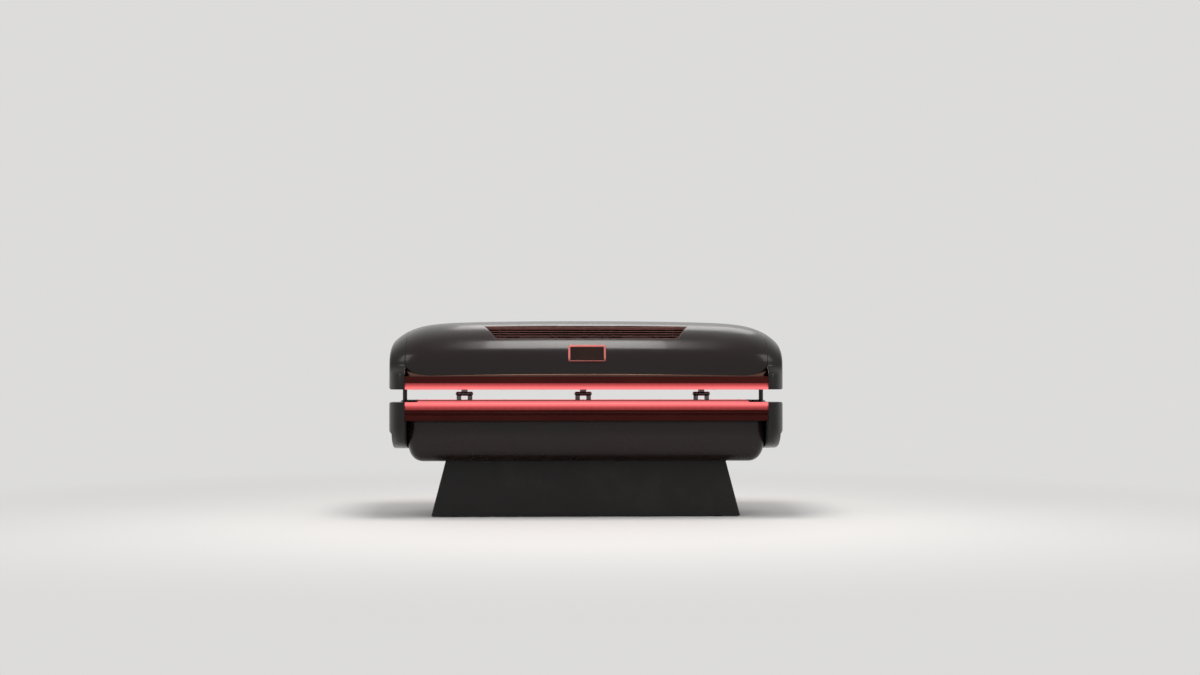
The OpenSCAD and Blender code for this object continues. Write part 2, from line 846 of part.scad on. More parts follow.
module bench_cap_right() {
    tray_end = half_l - step_t - cap_wall;
    color("#0b0a0a")
        difference() {
            loft([for (x = cap_stations()) ring(x, bench_cap_out(x, 0), bench_mouth(x, 0))]);
            loft([
                for (x = tray_stations(tray_end))
                    ring(x, bench_cap_out(x, cap_wall), bench_mouth(x, cap_wall))
            ]);
            spring_slot(false);
            translate([0, pod_w, 0])
                rotate([90, 0, 0])
                    linear_extrude(2 * pod_w)
                        polygon([
                            [half_l - step_t, z_rim - wing_h - 20], [half_l + 5, z_rim - wing_h - 20],
                            [half_l + 5, step_z + step_t + 5], [half_l - step_t, step_z]
                        ]);
        }
}

module bench_cap_left() {
    mirror([1, 0, 0]) bench_cap_right();
}

shoulder_z = z_belt + 8;

function lid_cap_out(x, inset) =
    let (
        s = max(0, (x - half_l + edge_r) / edge_r),
        e = inset + edge_r * (1 - sqrt(max(0, 1 - s * s))),
        half = front_y - cap_back - cap_tuck * pow(max(x - half_band, 0) / cap_t, 2.5) - e
    )
    concat(
        [[half, z_lid + e], [half, shoulder_z]],
        dome_arc(x, e, dome_steps),
        [[-half, shoulder_z], [-half, z_lid + e]]
    );
function lid_mouth(x, inset) =
    let (
        s = max(0, (x - half_l + edge_r) / edge_r),
        e = inset + edge_r * (1 - sqrt(max(0, 1 - s * s))),
        r = lid_mouth_r + e,
        a = asin((z_lid + e - lid_mouth_c) / r)
    )
    circle_arc(lid_mouth_c, r, a, 180 - a, dome_steps + 4);

module lid_cap_right() {
    tray_end = half_l - step_t - cap_wall;
    color("#0e0c0c")
        difference() {
            loft([for (x = cap_stations()) ring(x, lid_cap_out(x, 0), lid_mouth(x, 0))]);
            loft([
                for (x = tray_stations(tray_end))
                    ring(x, lid_cap_out(x, cap_wall), lid_mouth(x, cap_wall))
            ]);
            spring_slot(true);
        }
}

module lid_cap_left() {
    mirror([1, 0, 0]) lid_cap_right();
}

// Hinges: two knuckles on the bench leaf, one on the lid leaf, on a pin

hinge_x = [-760, 0, 760];
knuckle_w = 40;
side_w = 30;

module leaf(from_z, to_z, w) {
    translate([-w / 2, hinge_y - fit - leaf_t, min(from_z, to_z)])
        cube([w, leaf_t, abs(to_z - from_z)]);
}

module hinge_bench_leaves() {
    color("#6c6d70")
        for (x = hinge_x)
            translate([x, 0, 0])
                difference() {
                    union() {
                        for (s = [-1, 1])
                            translate([s * (knuckle_w / 2 + fit + side_w / 2), 0, 0]) {
                                translate([-side_w / 2, hinge_y, hinge_z]) rotate([0, 90, 0]) cylinder(r = knuckle_r, h = side_w);
                                leaf(z_rim - 12, hinge_z, side_w);
                            }
                        leaf(z_rail + 6, z_rim - 10, knuckle_w + 2 * side_w + 2 * fit);
                    }
                    translate([-100, hinge_y, hinge_z]) rotate([0, 90, 0]) cylinder(r = pin_r + run, h = 200);
                }
}

module hinge_lid_leaves() {
    color("#6c6d70")
        for (x = hinge_x)
            translate([x, 0, 0])
                difference() {
                    union() {
                        translate([-knuckle_w / 2, hinge_y, hinge_z]) rotate([0, 90, 0]) cylinder(r = knuckle_r, h = knuckle_w);
                        leaf(hinge_z, z_lid + 12, knuckle_w);
                        leaf(z_lid + 10, z_belt - 6, knuckle_w + 2 * side_w + 2 * fit);
                    }
                    translate([-100, hinge_y, hinge_z]) rotate([0, 90, 0]) cylinder(r = pin_r + run, h = 200);
                }
}

module hinge_pins() {
    l = knuckle_w + 2 * side_w + 2 * fit;
    color("#b4b6b9")
        for (x = hinge_x)
            translate([x - l / 2 - 3, hinge_y, hinge_z])
                rotate([0, 90, 0]) {
                    cylinder(r = pin_r, h = l + 6);
                    translate([0, 0, -2]) cylinder(r = pin_r + 3, h = 4.5);
                    translate([0, 0, l + 3.5]) cylinder(r = pin_r + 3, h = 4.5);
                }
}

// Gas springs: studs on the end plates, a cylinder from the bench and a rod from the lid

stud_r = 5;
stud_base_r = 18;
stud_collar_r = 9;
stud_head_r = 8.5;
stud_head_t = 2;
stud_base_t = 4;

module spring_stud(z) {
    start = half_band + fit / 2;
    eye_x = spring_x - eye_w / 2;
    eye_end = spring_x + eye_w / 2 + fit;
    translate([0, spring_line_y, z])
        rotate([0, 90, 0]) {
            translate([0, 0, start]) cylinder(r = stud_base_r, h = stud_base_t);
            translate([0, 0, start]) cylinder(r = stud_collar_r, h = eye_x - fit - start);
            translate([0, 0, start]) cylinder(r = stud_r, h = eye_end - start + 1);
            translate([0, 0, eye_end]) cylinder(r = stud_head_r, h = stud_head_t);
        }
}

module spring_studs_bench() {
    color("#8e9093") both_ends() spring_stud(hinge_z - spring_z);
}

module spring_studs_lid() {
    color("#8e9093") both_ends() spring_stud(hinge_z + spring_z);
}

module spring_eye() {
    rotate([0, 90, 0])
        translate([0, 0, -eye_w / 2]) cylinder(r = stud_r + 7, h = eye_w);
}

module spring_cylinder_right() {
    color("#1a1a1b")
        translate([spring_x, spring_line_y, hinge_z - spring_z])
            difference() {
                union() {
                    spring_eye();
                    cylinder(r = 7, h = 24);
                    translate([0, 0, 16]) cylinder(r = spring_r, h = cylinder_l - 16);
                }
                translate([0, 0, 26]) cylinder(r = spring_r - 2, h = cylinder_l - 38);
                translate([0, 0, cylinder_l - 20]) cylinder(r = rod_r + run, h = 30);
                rotate([0, 90, 0]) translate([0, 0, -20]) cylinder(r = stud_r + run, h = 40);
            }
}

module spring_cylinder_left() {
    mirror([1, 0, 0]) spring_cylinder_right();
}

module spring_rod_right() {
    color("#c9cbce")
        translate([spring_x, spring_line_y, hinge_z + spring_z])
            rotate([180, 0, 0])
                difference() {
                    union() {
                        spring_eye();
                        cylinder(r = rod_r, h = rod_l);
                        translate([0, 0, rod_l - 15]) cylinder(r = spring_r - 2 - run, h = 15);
                    }
                    rotate([0, 90, 0]) translate([0, 0, -20]) cylinder(r = stud_r + run, h = 40);
                }
}

module spring_rod_left() {
    mirror([1, 0, 0]) spring_rod_right();
}

// Lid frame: arched ribs, side beams and end plates

lid_beam_w = 40;
ledge_t = 12;

module lid_rib(x, t) {
    inner = polygon_row(arch_c, lid_seat_r, lid_rows, lid_step, 90);
    outer = dome_arc(x, wall + 1.2, dome_steps);
    foot = z_lid + ledge_t + fit;
    along_x(x - t / 2, t)
        polygon(concat(
            [[upper_y, foot], [upper_y, z_belt + fit], [dome_half(x) - wall - 8, sill_z(x)]],
            outer,
            [
                [-dome_half(x) + wall + 8, sill_z(x)], [-upper_y, z_belt + fit], [-upper_y, foot],
                [-upper_y + lid_beam_w + 10, foot]
            ],
            [for (i = [len(inner) - 1:-1:0]) inner[i]],
            [[upper_y - lid_beam_w - 10, foot]]
        ));
}

module lid_end_plate() {
    outer = dome_arc(half_band, wall + 1.5, dome_steps);
    mouth = lid_mouth(half_band, 1);
    foot = z_lid + 1;
    along_x(plate_x, plate_t)
        polygon(concat(
            [[upper_y, foot], [upper_y, z_belt + fit], [dome_half(half_band) - wall - 8, sill_z(half_band)]],
            outer,
            [[-dome_half(half_band) + wall + 8, sill_z(half_band)], [-upper_y, z_belt + fit], [-upper_y, foot]],
            [for (i = [len(mouth) - 1:-1:0]) mouth[i]]
        ));
    lid_flange(half_band - 35, 35 - plate_t);
}

module lid_frame() {
    color("#5a5a5c")
        difference() {
            union() {
                both_sides()
                    translate([-plate_x - 1, upper_y - lid_beam_w, z_lid + 14 + fit])
                        tube([2 * plate_x + 2, lid_beam_w, z_belt - z_lid - 14]);
                for (x = [-rib_pitch, 0, rib_pitch]) {
                    lid_rib(x, rib_t);
                    lid_flange(x - flange_w / 2, flange_w);
                }
                both_ends() lid_end_plate();
            }
            hinge_pockets(hinge_z, z_belt - 6 + fit);
            translate([-plate_x, -inner_y, z_lid]) cube([2 * plate_x, 2 * inner_y, ledge_t + fit]);
            on_chord(vent_at)
                translate([0, 0, vent_face - vent_depth - fit]) linear_extrude(80) vent_outline(-1);
            on_chord(display_at)
                translate([-display_w / 2 - 1, -display_h / 2 - 1, glass_back - 2 * fit - module_t])
                    cube([display_w + 2, display_h + 2, 80]);
        }
}

module lid_rail_rear() {
    color("#1c1010")
        along_x(-half_band, band_l)
            difference() {
                polygon([
                    [inner_y, z_lid_rail + fit], [front_y - 2, z_lid_rail + fit], [front_y, z_lid_rail + 3],
                    [front_y - 2, z_lid_rail + 8], [front_y - 9, z_belt - 6], [front_y - 12, z_belt],
                    [inner_y, z_belt]
                ]);
                translate([inner_y + 6, z_lid_rail + 5]) square([band_w - 30, lid_rail_h - 10]);
            }
}

module lid_rail_front() {
    mirror([0, 1, 0]) lid_rail_rear();
}

module lid_light_rear() {
    color("#ff6a6e")
        translate([0, 0, 2 * z_lid + lid_light_h])
            mirror([0, 0, 1]) light_nose(z_lid, lid_light_h);
}

module lid_light_front() {
    mirror([0, 1, 0]) lid_light_rear();
}

module lid_light_strips() {
    color("#d8d8cf")
        both_sides()
            translate([0, 0, 2 * z_lid_rail])
                mirror([0, 0, 1]) light_strip(z_lid_rail);
}

arch_edge = sqrt(pow(arch_r + acrylic_t, 2) - pow(z_lid - arch_c, 2)) + fit;

module lid_ledges() {
    color("#121111")
        both_sides()
            along_x(-plate_x + fit, 2 * plate_x - 2 * fit)
                polygon([
                    [arch_edge, z_lid], [inner_y - leaf_t - 3, z_lid],
                    [inner_y - leaf_t - 3, z_lid + ledge_t], [arch_edge, z_lid + ledge_t]
                ]);
}

module lid_sills() {
    color("#2a1a1a")
        both_sides()
            loft([
                for (x = stations(half_band, 9))
                    let (y = dome_half(x) - 6, low = z_belt + fit, high = sill_z(x) - fit)
                    [
                        [x, y - 3, low], [x, y + 5, low], [x, y + 5, high - 3],
                        [x, y + 2, high], [x, y, high], [x, y - 3, high]
                    ]
            ]);
}

// Lid shell: the dome, with its openings for the vents and the display

function chord(low, high) =
    let (a = [dome_y(low), low], b = [dome_y(high), high])
    [(a + b) / 2, norm(b - a), atan2(b[1] - a[1], b[0] - a[0])];
vent_at = chord(z_wide + vent_low, z_wide + vent_high);
display_low = z_wide + 14;
display_at = chord(display_low, display_low + display_h * 0.935);

// Children drawn on the chord of the dome: local X along the pod, local Z outwards.
module on_chord(at) {
    translate([0, at[0][0], at[0][1]])
        rotate([at[2], 0, 0]) children();
}

module vent_outline(inset) {
    h = vent_at[1] / 2 - inset;
    polygon([
        [-vent_bottom_l / 2 + inset * 1.3, -h], [vent_bottom_l / 2 - inset * 1.3, -h],
        [vent_top_l / 2 - inset * 1.3, h], [-vent_top_l / 2 + inset * 1.3, h]
    ]);
}

module rounded_plate(w, h, r) {
    square([w - 2 * r, h], center = true);
    square([w, h - 2 * r], center = true);
    for (x = [-1, 1], y = [-1, 1])
        translate([x * (w / 2 - r), y * (h / 2 - r)]) circle(r = r);
}

module lid_shell() {
    color("#160f0f")
        difference() {
            loft([
                for (x = stations(half_band, 9))
                    ring(x, under_dome(x, 0, sill_z(x)), under_dome(x, wall, sill_z(x)))
            ]);
            on_chord(vent_at)
                translate([0, 0, -40]) linear_extrude(80) vent_outline(0);
            on_chord(display_at)
                translate([0, 0, -30])
                    linear_extrude(60)
                        rounded_plate(display_w + 2 * fit, display_h + 2 * fit, bezel_r + fit);
        }
}

vent_face = -3;
vent_depth = 16;

module vent_grille() {
    pitch = (vent_at[1] - 20) / slats;
    color("#1a1413")
        on_chord(vent_at) {
            translate([0, 0, vent_face - vent_depth])
                linear_extrude(vent_depth)
                    difference() {
                        vent_outline(fit);
                        vent_outline(9);
                    }
            intersection() {
                translate([0, 0, vent_face - vent_depth])
                    linear_extrude(vent_depth) vent_outline(2);
                for (i = [0:slats - 1])
                    translate([-vent_top_l / 2, -vent_at[1] / 2 + 10 + pitch * (i + 0.5), vent_face - vent_depth / 2])
                        rotate([-38, 0, 0])
                            translate([0, -13, -1.25]) cube([vent_top_l, 26, 2.5]);
            }
            for (x = [-1, 1])
                translate([x * 150 - 3, -vent_at[1] / 2 + 5, vent_face - vent_depth])
                    cube([6, vent_at[1] - 10, 5]);
        }
}

lid_fan_x = [-450, -150, 150, 450];
lid_fan_z = vent_face - vent_depth - fit;

module lid_fan_frames() {
    color("#151515")
        on_chord(vent_at)
            for (x = lid_fan_x)
                translate([x, 0, lid_fan_z - fan_t]) fan_frame();
}

module lid_fan_rotor(i) {
    color("#232324")
        on_chord(vent_at)
            translate([lid_fan_x[i], 0, lid_fan_z - fan_t]) fan_rotor();
}

module lid_fan_rotor_1() {
    lid_fan_rotor(0);
}

module lid_fan_rotor_2() {
    lid_fan_rotor(1);
}

module lid_fan_rotor_3() {
    lid_fan_rotor(2);
}

module lid_fan_rotor_4() {
    lid_fan_rotor(3);
}

bezel_face = 9;
bezel_back = 10;
bezel_r = 12;
window_r = 6;
glass_t = 5;
glass_sink = 3;
glass_back = bezel_face - glass_sink - glass_t;
module_t = 24;

module display_bezel() {
    color("#b06a50")
        on_chord(display_at)
            difference() {
                translate([0, 0, -bezel_back])
                    linear_extrude(bezel_face + bezel_back) rounded_plate(display_w, display_h, bezel_r);
                translate([0, 0, -bezel_back - 1])
                    linear_extrude(bezel_face + bezel_back + 2)
                        rounded_plate(display_w - 2 * bezel_w, display_h - 2 * bezel_w, window_r);
            }
}

module display_screen() {
    color("#140a08")
        on_chord(display_at)
            translate([0, 0, glass_back])
                linear_extrude(glass_t)
                    rounded_plate(display_w - 2 * bezel_w - 2 * fit, display_h - 2 * bezel_w - 2 * fit, window_r - fit);
}

module display_module() {
    color("#2b2b2d")
        on_chord(display_at)
            translate([-display_w / 2 + bezel_w + 6, -display_h / 2 + bezel_w + 6, glass_back - fit - module_t])
                cube([display_w - 2 * bezel_w - 12, display_h - 2 * bezel_w - 12, module_t]);
}

module lid_acrylic() {
    color("#f4e4e0", 0.35)
        along_x(-plate_x + fit, 2 * plate_x - 2 * fit)
            intersection() {
                sector(arch_c, arch_r, acrylic_t, arch_r + acrylic_t, true);
                translate([-arch_r - 20, z_lid]) square([2 * arch_r + 40, arch_h + 40]);
            }
}

module lid_lamp_boards() {
    color("#e8e6df")
        lamp_rows(arch_c, arch_board_r, lid_rows, lid_step, 90, 1, lid_board_w)
            cube([board_l, board_t, lid_board_w]);
}

module lid_heat_sinks() {
    color("#a9abad")
        lamp_rows(arch_c, lid_seat_r, lid_rows, lid_step, 90, sink_gap, lid_sink_w)
            heat_sink(lid_sink_w);
}

foot_pads();
base_frame();
pedestal_shell();
rear_service_panel();
panel_screws();
mains_inlet();
switch_housing();
power_rocker();
base_tray();
power_supplies();
control_board();
tub_shell();
bench_frame();
bench_rail_front();
bench_rail_rear();
bench_light_front();
bench_light_rear();
bench_light_strips();
bench_decks();
bench_acrylic();
bench_lamp_boards();
bench_heat_sinks();
bench_fan_frames();
bench_fan_rotor_left();
bench_fan_rotor_right();
bench_cap_left();
bench_cap_right();
hinge_bench_leaves();
hinge_pins();
spring_studs_bench();
spring_cylinder_left();
spring_cylinder_right();
spring_rod_left();
spring_rod_right();
spring_studs_lid();
hinge_lid_leaves();
lid_frame();
lid_rail_front();
lid_rail_rear();
lid_light_front();
lid_light_rear();
lid_light_strips();
lid_ledges();
lid_sills();
lid_shell();
lid_cap_left();
lid_cap_right();
lid_acrylic();
lid_lamp_boards();
lid_heat_sinks();
vent_grille();
lid_fan_frames();
lid_fan_rotor_1();
lid_fan_rotor_2();
lid_fan_rotor_3();
lid_fan_rotor_4();
display_bezel();
display_screen();
display_module();
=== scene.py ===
"""Looks of the light therapy pod, laid out as an add-on and run as a script."""

import math
from contextlib import contextmanager

import bmesh
import bpy
from bpy.props import FloatProperty, FloatVectorProperty, IntProperty
from mathutils import Euler, Matrix, Vector


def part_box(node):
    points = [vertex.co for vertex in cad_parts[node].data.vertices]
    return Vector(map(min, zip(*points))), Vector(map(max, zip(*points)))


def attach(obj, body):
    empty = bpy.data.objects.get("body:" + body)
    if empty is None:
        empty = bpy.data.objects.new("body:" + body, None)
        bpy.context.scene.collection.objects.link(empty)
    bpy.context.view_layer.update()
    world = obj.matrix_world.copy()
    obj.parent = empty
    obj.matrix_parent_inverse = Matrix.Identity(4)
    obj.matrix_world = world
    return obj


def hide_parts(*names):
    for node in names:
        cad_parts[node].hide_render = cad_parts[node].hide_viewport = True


bl_info = {
    "name": "Light Therapy Pod",
    "version": (1, 0, 0),
    "blender": (4, 5, 0),
    "location": "3D View > Sidebar > Pod",
    "description": "Builds the pod's visible pieces round its packed frame",
    "category": "Add Mesh",
}

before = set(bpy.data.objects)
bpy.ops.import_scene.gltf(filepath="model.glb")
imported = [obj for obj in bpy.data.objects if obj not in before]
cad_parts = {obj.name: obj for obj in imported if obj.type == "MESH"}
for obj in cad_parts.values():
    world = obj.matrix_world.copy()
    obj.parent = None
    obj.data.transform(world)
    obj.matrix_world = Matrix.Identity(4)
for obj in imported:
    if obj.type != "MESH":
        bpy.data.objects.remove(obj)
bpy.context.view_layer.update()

# Places read from the frame, in metres
HALF_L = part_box("lid_cap_right")[1][0]
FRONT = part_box("bench_light_rear")[1][1]
HALF_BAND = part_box("bench_light_front")[1][0]
TUB_HALF_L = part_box("tub_shell")[1][0]
Z_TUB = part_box("tub_shell")[0][2]
Z_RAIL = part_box("bench_rail_front")[0][2]
Z_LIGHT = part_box("bench_light_front")[0][2]
Z_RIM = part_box("bench_light_front")[1][2]
Z_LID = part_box("lid_light_front")[0][2]
Z_LID_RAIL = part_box("lid_light_front")[1][2]
Z_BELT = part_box("lid_rail_front")[1][2]
Z_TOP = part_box("lid_shell")[1][2]

# Gaps, walls and roundings
FIT = 0.0003
OVER = 0.001
WALL = 0.005
CAP_WALL = 0.006
EDGE_R = 0.016
SEAM_R = 0.0035

# Dome: how it falls and tucks in towards the ends, and its trim line
DOME_RISE = 0.270
Z_WIDE = Z_TOP - DOME_RISE
DOME_HALF = FRONT - 0.009
DOME_N = 2.3
END_POWER = 11
CROWN_FALL = 0.020
END_FALL = 0.110
END_TUCK = 0.100
SILL_FLAT = 0.9
SILL_TOP = 0.014
SILL_DIP = 0.008
SILL_LIFT = 0.028

# Hinge line and gas springs, which stand between bench and lid
INNER_Y = FRONT - 0.060
HINGE_Z = (Z_RIM + Z_LID) / 2
SPRING_X = HALF_L - 0.025
SPRING_Y = INNER_Y - 0.125
SPRING_ROOM = 0.020
STUD_DROP = 0.150
HALF_SWING = math.radians(27.5)

# Trough of the lying panel, arch of the lid's panel, and the lamps behind both
TROUGH_HALF = INNER_Y - 0.145
TROUGH_D = 0.085
TROUGH_R = (TROUGH_HALF**2 + TROUGH_D**2) / (2 * TROUGH_D)
TROUGH_C = Z_RIM - 0.008 - TROUGH_D + TROUGH_R
ARCH_HALF = INNER_Y - 0.115
ARCH_H = 0.273
ARCH_R = (ARCH_HALF**2 + ARCH_H**2) / (2 * ARCH_H)
ARCH_C = Z_LID + ARCH_H - ARCH_R
ACRYLIC_T = 0.008
LAMP_GAP = 0.022
LAMP_PITCH = 0.05
RIB_PITCH = (2 * HALF_BAND - 0.040) / 4
BENCH_ROWS = 5
LID_ROWS = 7
LENS_COLUMNS, LENS_ROWS, LENS_PITCH = 16, 5, 0.0318

# Tub, end caps and pedestal
TUB_HALF = INNER_Y
TUB_CORNER = 0.080
TUB_FLAT = 0.300
TUB_ROUND = 2.2
Z_BILGE = Z_RAIL - 0.055
WING_H = 0.283
WING_ROUND = 3.2
CAP_T = HALF_L - HALF_BAND
CAP_DRAW, CAP_BEND = 0.102, 2.5
CAP_STEP, CAP_STEP_Z = 0.017, Z_RIM - 0.186
SHOULDER_Z = Z_BELT + 0.008
MOUTH_DROP = 0.102
PEDESTAL_TOP = (0.834, 0.3025)

# Screws, fans, vents and display
SCREW_PITCH, SCREW_IN = 0.25, 0.045
BENCH_FAN_X = (-0.300, 0.300)
FAN_HOLE_R = 0.056
VENT_LOW, VENT_HIGH = 0.152, 0.233
VENT_FOOT, VENT_HEAD = 0.541, 0.603
VENT_BORDER = 0.009
DISPLAY_L, DISPLAY_W, DISPLAY_LOW = 0.218, 0.106, 0.014
# Heights of the display bezel's painted shade at its foot and painted highlight above it
BEZEL_SHADE_Z, BEZEL_HIGHLIGHT_Z = 0.918, 0.945


def share(x):
    """How much of the ends' fall a place along the pod has."""
    return (abs(x) / HALF_L) ** END_POWER


def power(v, n):
    """A cosine or sine bent towards a fuller oval, which n = 2 leaves round."""
    return math.copysign(abs(v) ** (2 / n), v) if v else 0.0


def crest_z(x):
    """Height of the dome's crest."""
    return Z_TOP - CROWN_FALL * (x / HALF_L) ** 2 - END_FALL * share(x)


def dome_half(x):
    """Half of the dome's depth."""
    return DOME_HALF - END_TUCK * share(x)


def sill_z(x):
    """Height of the trim line, which rises towards the ends."""
    past = max(abs(x) - SILL_FLAT, 0) / (HALF_BAND - SILL_FLAT)
    return Z_BELT + SILL_TOP - SILL_DIP * min(abs(x) / SILL_FLAT, 1) ** 2 + SILL_LIFT * past * past


def oval(y, z, wide, high, n, start, end, steps):
    """An arc about (y, z) of an oval of power n."""
    angles = [start + (end - start) * i / steps for i in range(steps + 1)]
    return [(y + wide * power(math.cos(a), n), z + high * power(math.sin(a), n)) for a in angles]


def dome_arc(x, inset, steps):
    """The dome's section at x, drawn in by inset."""
    rise = crest_z(x) - Z_WIDE - inset
    return oval(0, Z_WIDE, dome_half(x) - inset, rise, DOME_N, 0, math.pi, steps)


def dome_y(z):
    """Front of the dome's middle section at height z."""
    return -DOME_HALF * (1 - ((z - Z_WIDE) / DOME_RISE) ** DOME_N) ** (1 / DOME_N)


def arc(cz, r, a0, a1, steps):
    """An arc about (0, cz), with its angles in degrees."""
    angles = [math.radians(a0 + (a1 - a0) * i / steps) for i in range(steps + 1)]
    return [(r * math.cos(a), cz + r * math.sin(a)) for a in angles]


def chord(low, high):
    """Middle, slope matrix and length of the dome's chord between two heights."""
    a, b = Vector((0, dome_y(low), low)), Vector((0, dome_y(high), high))
    tilt = math.atan2(b.z - a.z, b.y - a.y)
    place = Matrix.Translation((a + b) / 2) @ Matrix.Rotation(tilt, 4, "X")
    return place, (b - a).length


VENT_PLACE, VENT_LENGTH = chord(Z_WIDE + VENT_LOW, Z_WIDE + VENT_HIGH)
DISPLAY_PLACE = chord(Z_WIDE + DISPLAY_LOW, Z_WIDE + DISPLAY_LOW + DISPLAY_W * 0.935)[0]


def vent_outline(inset=0.0):
    """The vent field, wider at its head, drawn in by inset."""
    high, side = VENT_LENGTH / 2 - inset, inset * 1.3
    foot, head = VENT_FOOT - side, VENT_HEAD - side
    return [(-foot, -high), (foot, -high), (head, high), (-head, high)]


# Node trees, written as expressions


class Wire:
    """A socket of a node tree. Arithmetic on it adds Math nodes."""

    def __init__(self, tree, socket):
        self.tree = tree
        self.socket = socket

    def calc(self, operation, *others, **settings):
        return self.tree.node("ShaderNodeMath", {"operation": operation, **settings}, (self, *others))

    def __add__(self, other):
        return self.calc("ADD", other)

    def __sub__(self, other):
        return self.calc("SUBTRACT", other)

    def __mul__(self, other):
        return self.calc("MULTIPLY", other)

    def __truediv__(self, other):
        return self.calc("DIVIDE", other)

    def __pow__(self, other):
        return self.calc("POWER", other)

    def absolute(self):
        return self.calc("ABSOLUTE")

    def most(self, other):
        return self.calc("MAXIMUM", other)

    def least(self, other):
        return self.calc("MINIMUM", other)

    def over(self, low, high):
        """0 up to low and 1 from high on, and high may be the smaller one."""
        return (self - low).calc("DIVIDE", high - low, use_clamp=True)

    def output(self, name):
        return Wire(self.tree, pick(self.socket.node.outputs, name))


def pick(sockets, key):
    """A socket by its number, or the one in use by its name."""
    if isinstance(key, int):
        return sockets[key]
    return next(s for s in sockets if s.name == key and s.enabled)


class Tree:
    """A node tree, filled by calls of one method."""

    def __init__(self, tree):
        self.tree = tree

    def node(self, kind, settings=None, inputs=None, output=0):
        """A node with its settings and inputs, each a value, a wire or a list of wires; gives one output."""
        item = self.tree.nodes.new(kind)
        for name, value in (settings or {}).items():
            setattr(item, name, value)
        pairs = inputs.items() if isinstance(inputs, dict) else enumerate(inputs or ())
        for key, value in pairs:
            socket = pick(item.inputs, key)
            wires = value if isinstance(value, list) else [value]
            if isinstance(wires[0], Wire):
                for wire in wires:
                    self.tree.links.new(wire.socket, socket)
            else:
                socket.default_value = value
        return Wire(self, pick(item.outputs, output)) if item.outputs else None


class Look(Tree):
    """A material and its shader tree."""

    def __init__(self, name):
        self.material = bpy.data.materials.new(name)
        self.material.use_nodes = True
        super().__init__(self.material.node_tree)
        self.tree.nodes.clear()
        self.place = self.node("ShaderNodeTexCoord", output="Object")

    def stretched(self, scale):
        return self.node("ShaderNodeMapping", inputs={"Vector": self.place, "Scale": scale})

    def noise(self, scale, detail=3.0, rough=0.55, vector=None):
        inputs = {"Vector": vector or self.place, "Scale": scale, "Detail": detail, "Roughness": rough}
        return self.node("ShaderNodeTexNoise", inputs=inputs)

    def axis(self, name):
        return self.node("ShaderNodeSeparateXYZ", inputs={"Vector": self.place}, output=name)

    def facing(self, name):
        normal = self.node("ShaderNodeTexCoord", output="Normal")
        return self.node("ShaderNodeSeparateXYZ", inputs={"Vector": normal}, output=name)

    def painted_rim_glow(self):
        """Mask of painted rim light: 1 at the height of the bench's rim, 0 below it and on the lid."""
        height = self.axis("Z")
        return height.over(Z_RIM - 0.036, Z_RIM - 0.016) * height.over(HINGE_Z, Z_RIM)

    def mix(self, low, high, factor):
        inputs = {0: factor, 6: solid(low), 7: solid(high)}
        return self.node("ShaderNodeMix", {"data_type": "RGBA"}, inputs, output=2)

    def bump(self, height, distance, strength):
        inputs = {"Height": height, "Distance": distance, "Strength": strength}
        return self.node("ShaderNodeBump", inputs=inputs)

    def finish(self, shader):
        self.node("ShaderNodeOutputMaterial", inputs={"Surface": shader})
        return self.material

    def coated(self, sockets):
        return self.finish(self.node("ShaderNodeBsdfPrincipled", inputs=sockets))


def solid(colour):
    """A colour with its fourth number, or the wire that gives one."""
    return colour if isinstance(colour, Wire) else (*colour, 1.0)


def times(colour, factor):
    return tuple(c * factor for c in colour)


# Finishes


def lacquer(name, colour, tint, roughness, dust=0.012, coat=0.15, shine=0.23):
    """Dark gloss over a moulded shell: slow colour drift, faint waviness, a breath of dust on top."""
    look = Look(name)
    drift = look.noise(2.2, 2.0)
    speck = look.noise(900.0, 1.0)
    haze = look.noise(7.0, 4.0)
    top = look.facing("Z").over(0.35, 1.0) * haze.over(0.35, 0.75) * dust
    base = look.mix(look.mix(colour, tint, drift.over(0.3, 0.7)), (0.30, 0.28, 0.27), top)
    rough = haze.over(0.3, 0.8) * 0.07 + roughness + top * 0.8 + speck.over(0.62, 0.8) * 0.03
    relief = look.noise(5.5, 1.0) * 0.36 + speck * 0.02
    return look.coated({
        "Base Color": base, "Roughness": rough, "Coat Weight": coat, "Coat Roughness": 0.06,
        "Specular IOR Level": shine, "Normal": look.bump(relief, 0.0012, 0.35),
    })


def textured(name, colour, tint, roughness, grain=650.0, depth=0.00016, wear=0.02, shine=0.3):
    """Powder coat or grained plastic: an even pebble with paler worn spots."""
    look = Look(name)
    pebble = look.noise(grain, 2.0, 0.6)
    patch = look.noise(3.5, 4.0)
    worn = patch.over(0.55, 0.8) * wear + pebble.over(0.45, 0.7) * wear
    base = look.mix(look.mix(colour, tint, patch.over(0.3, 0.75)), (0.32, 0.31, 0.30), worn)
    rough = pebble * 0.12 + patch * 0.08 + (roughness - 0.10)
    return look.coated({
        "Base Color": base, "Roughness": rough, "Specular IOR Level": shine,
        "Normal": look.bump(pebble, depth, 0.8),
    })


def louvred(name, colour, edge):
    """Near-black plastic with a warm bronze painted on its front-facing faces, in patches: a painted
    highlight along the slats' front edges.
    """
    look = Look(name)
    grain = look.noise(1500.0, 2.0)
    highlight_patches = look.noise(35.0, 3.0).over(0.2, 0.6) * 0.4 + 0.6
    # Painted highlight: faces turned to the front take the bronze, which stands in for lit slat edges
    base = look.mix(colour, edge, look.facing("Y").over(-0.62, -0.92) * highlight_patches)
    return look.coated({
        "Base Color": base, "Roughness": grain * 0.1 + 0.32, "Specular IOR Level": 0.2,
        "Normal": look.bump(grain, 0.00006, 0.6),
    })


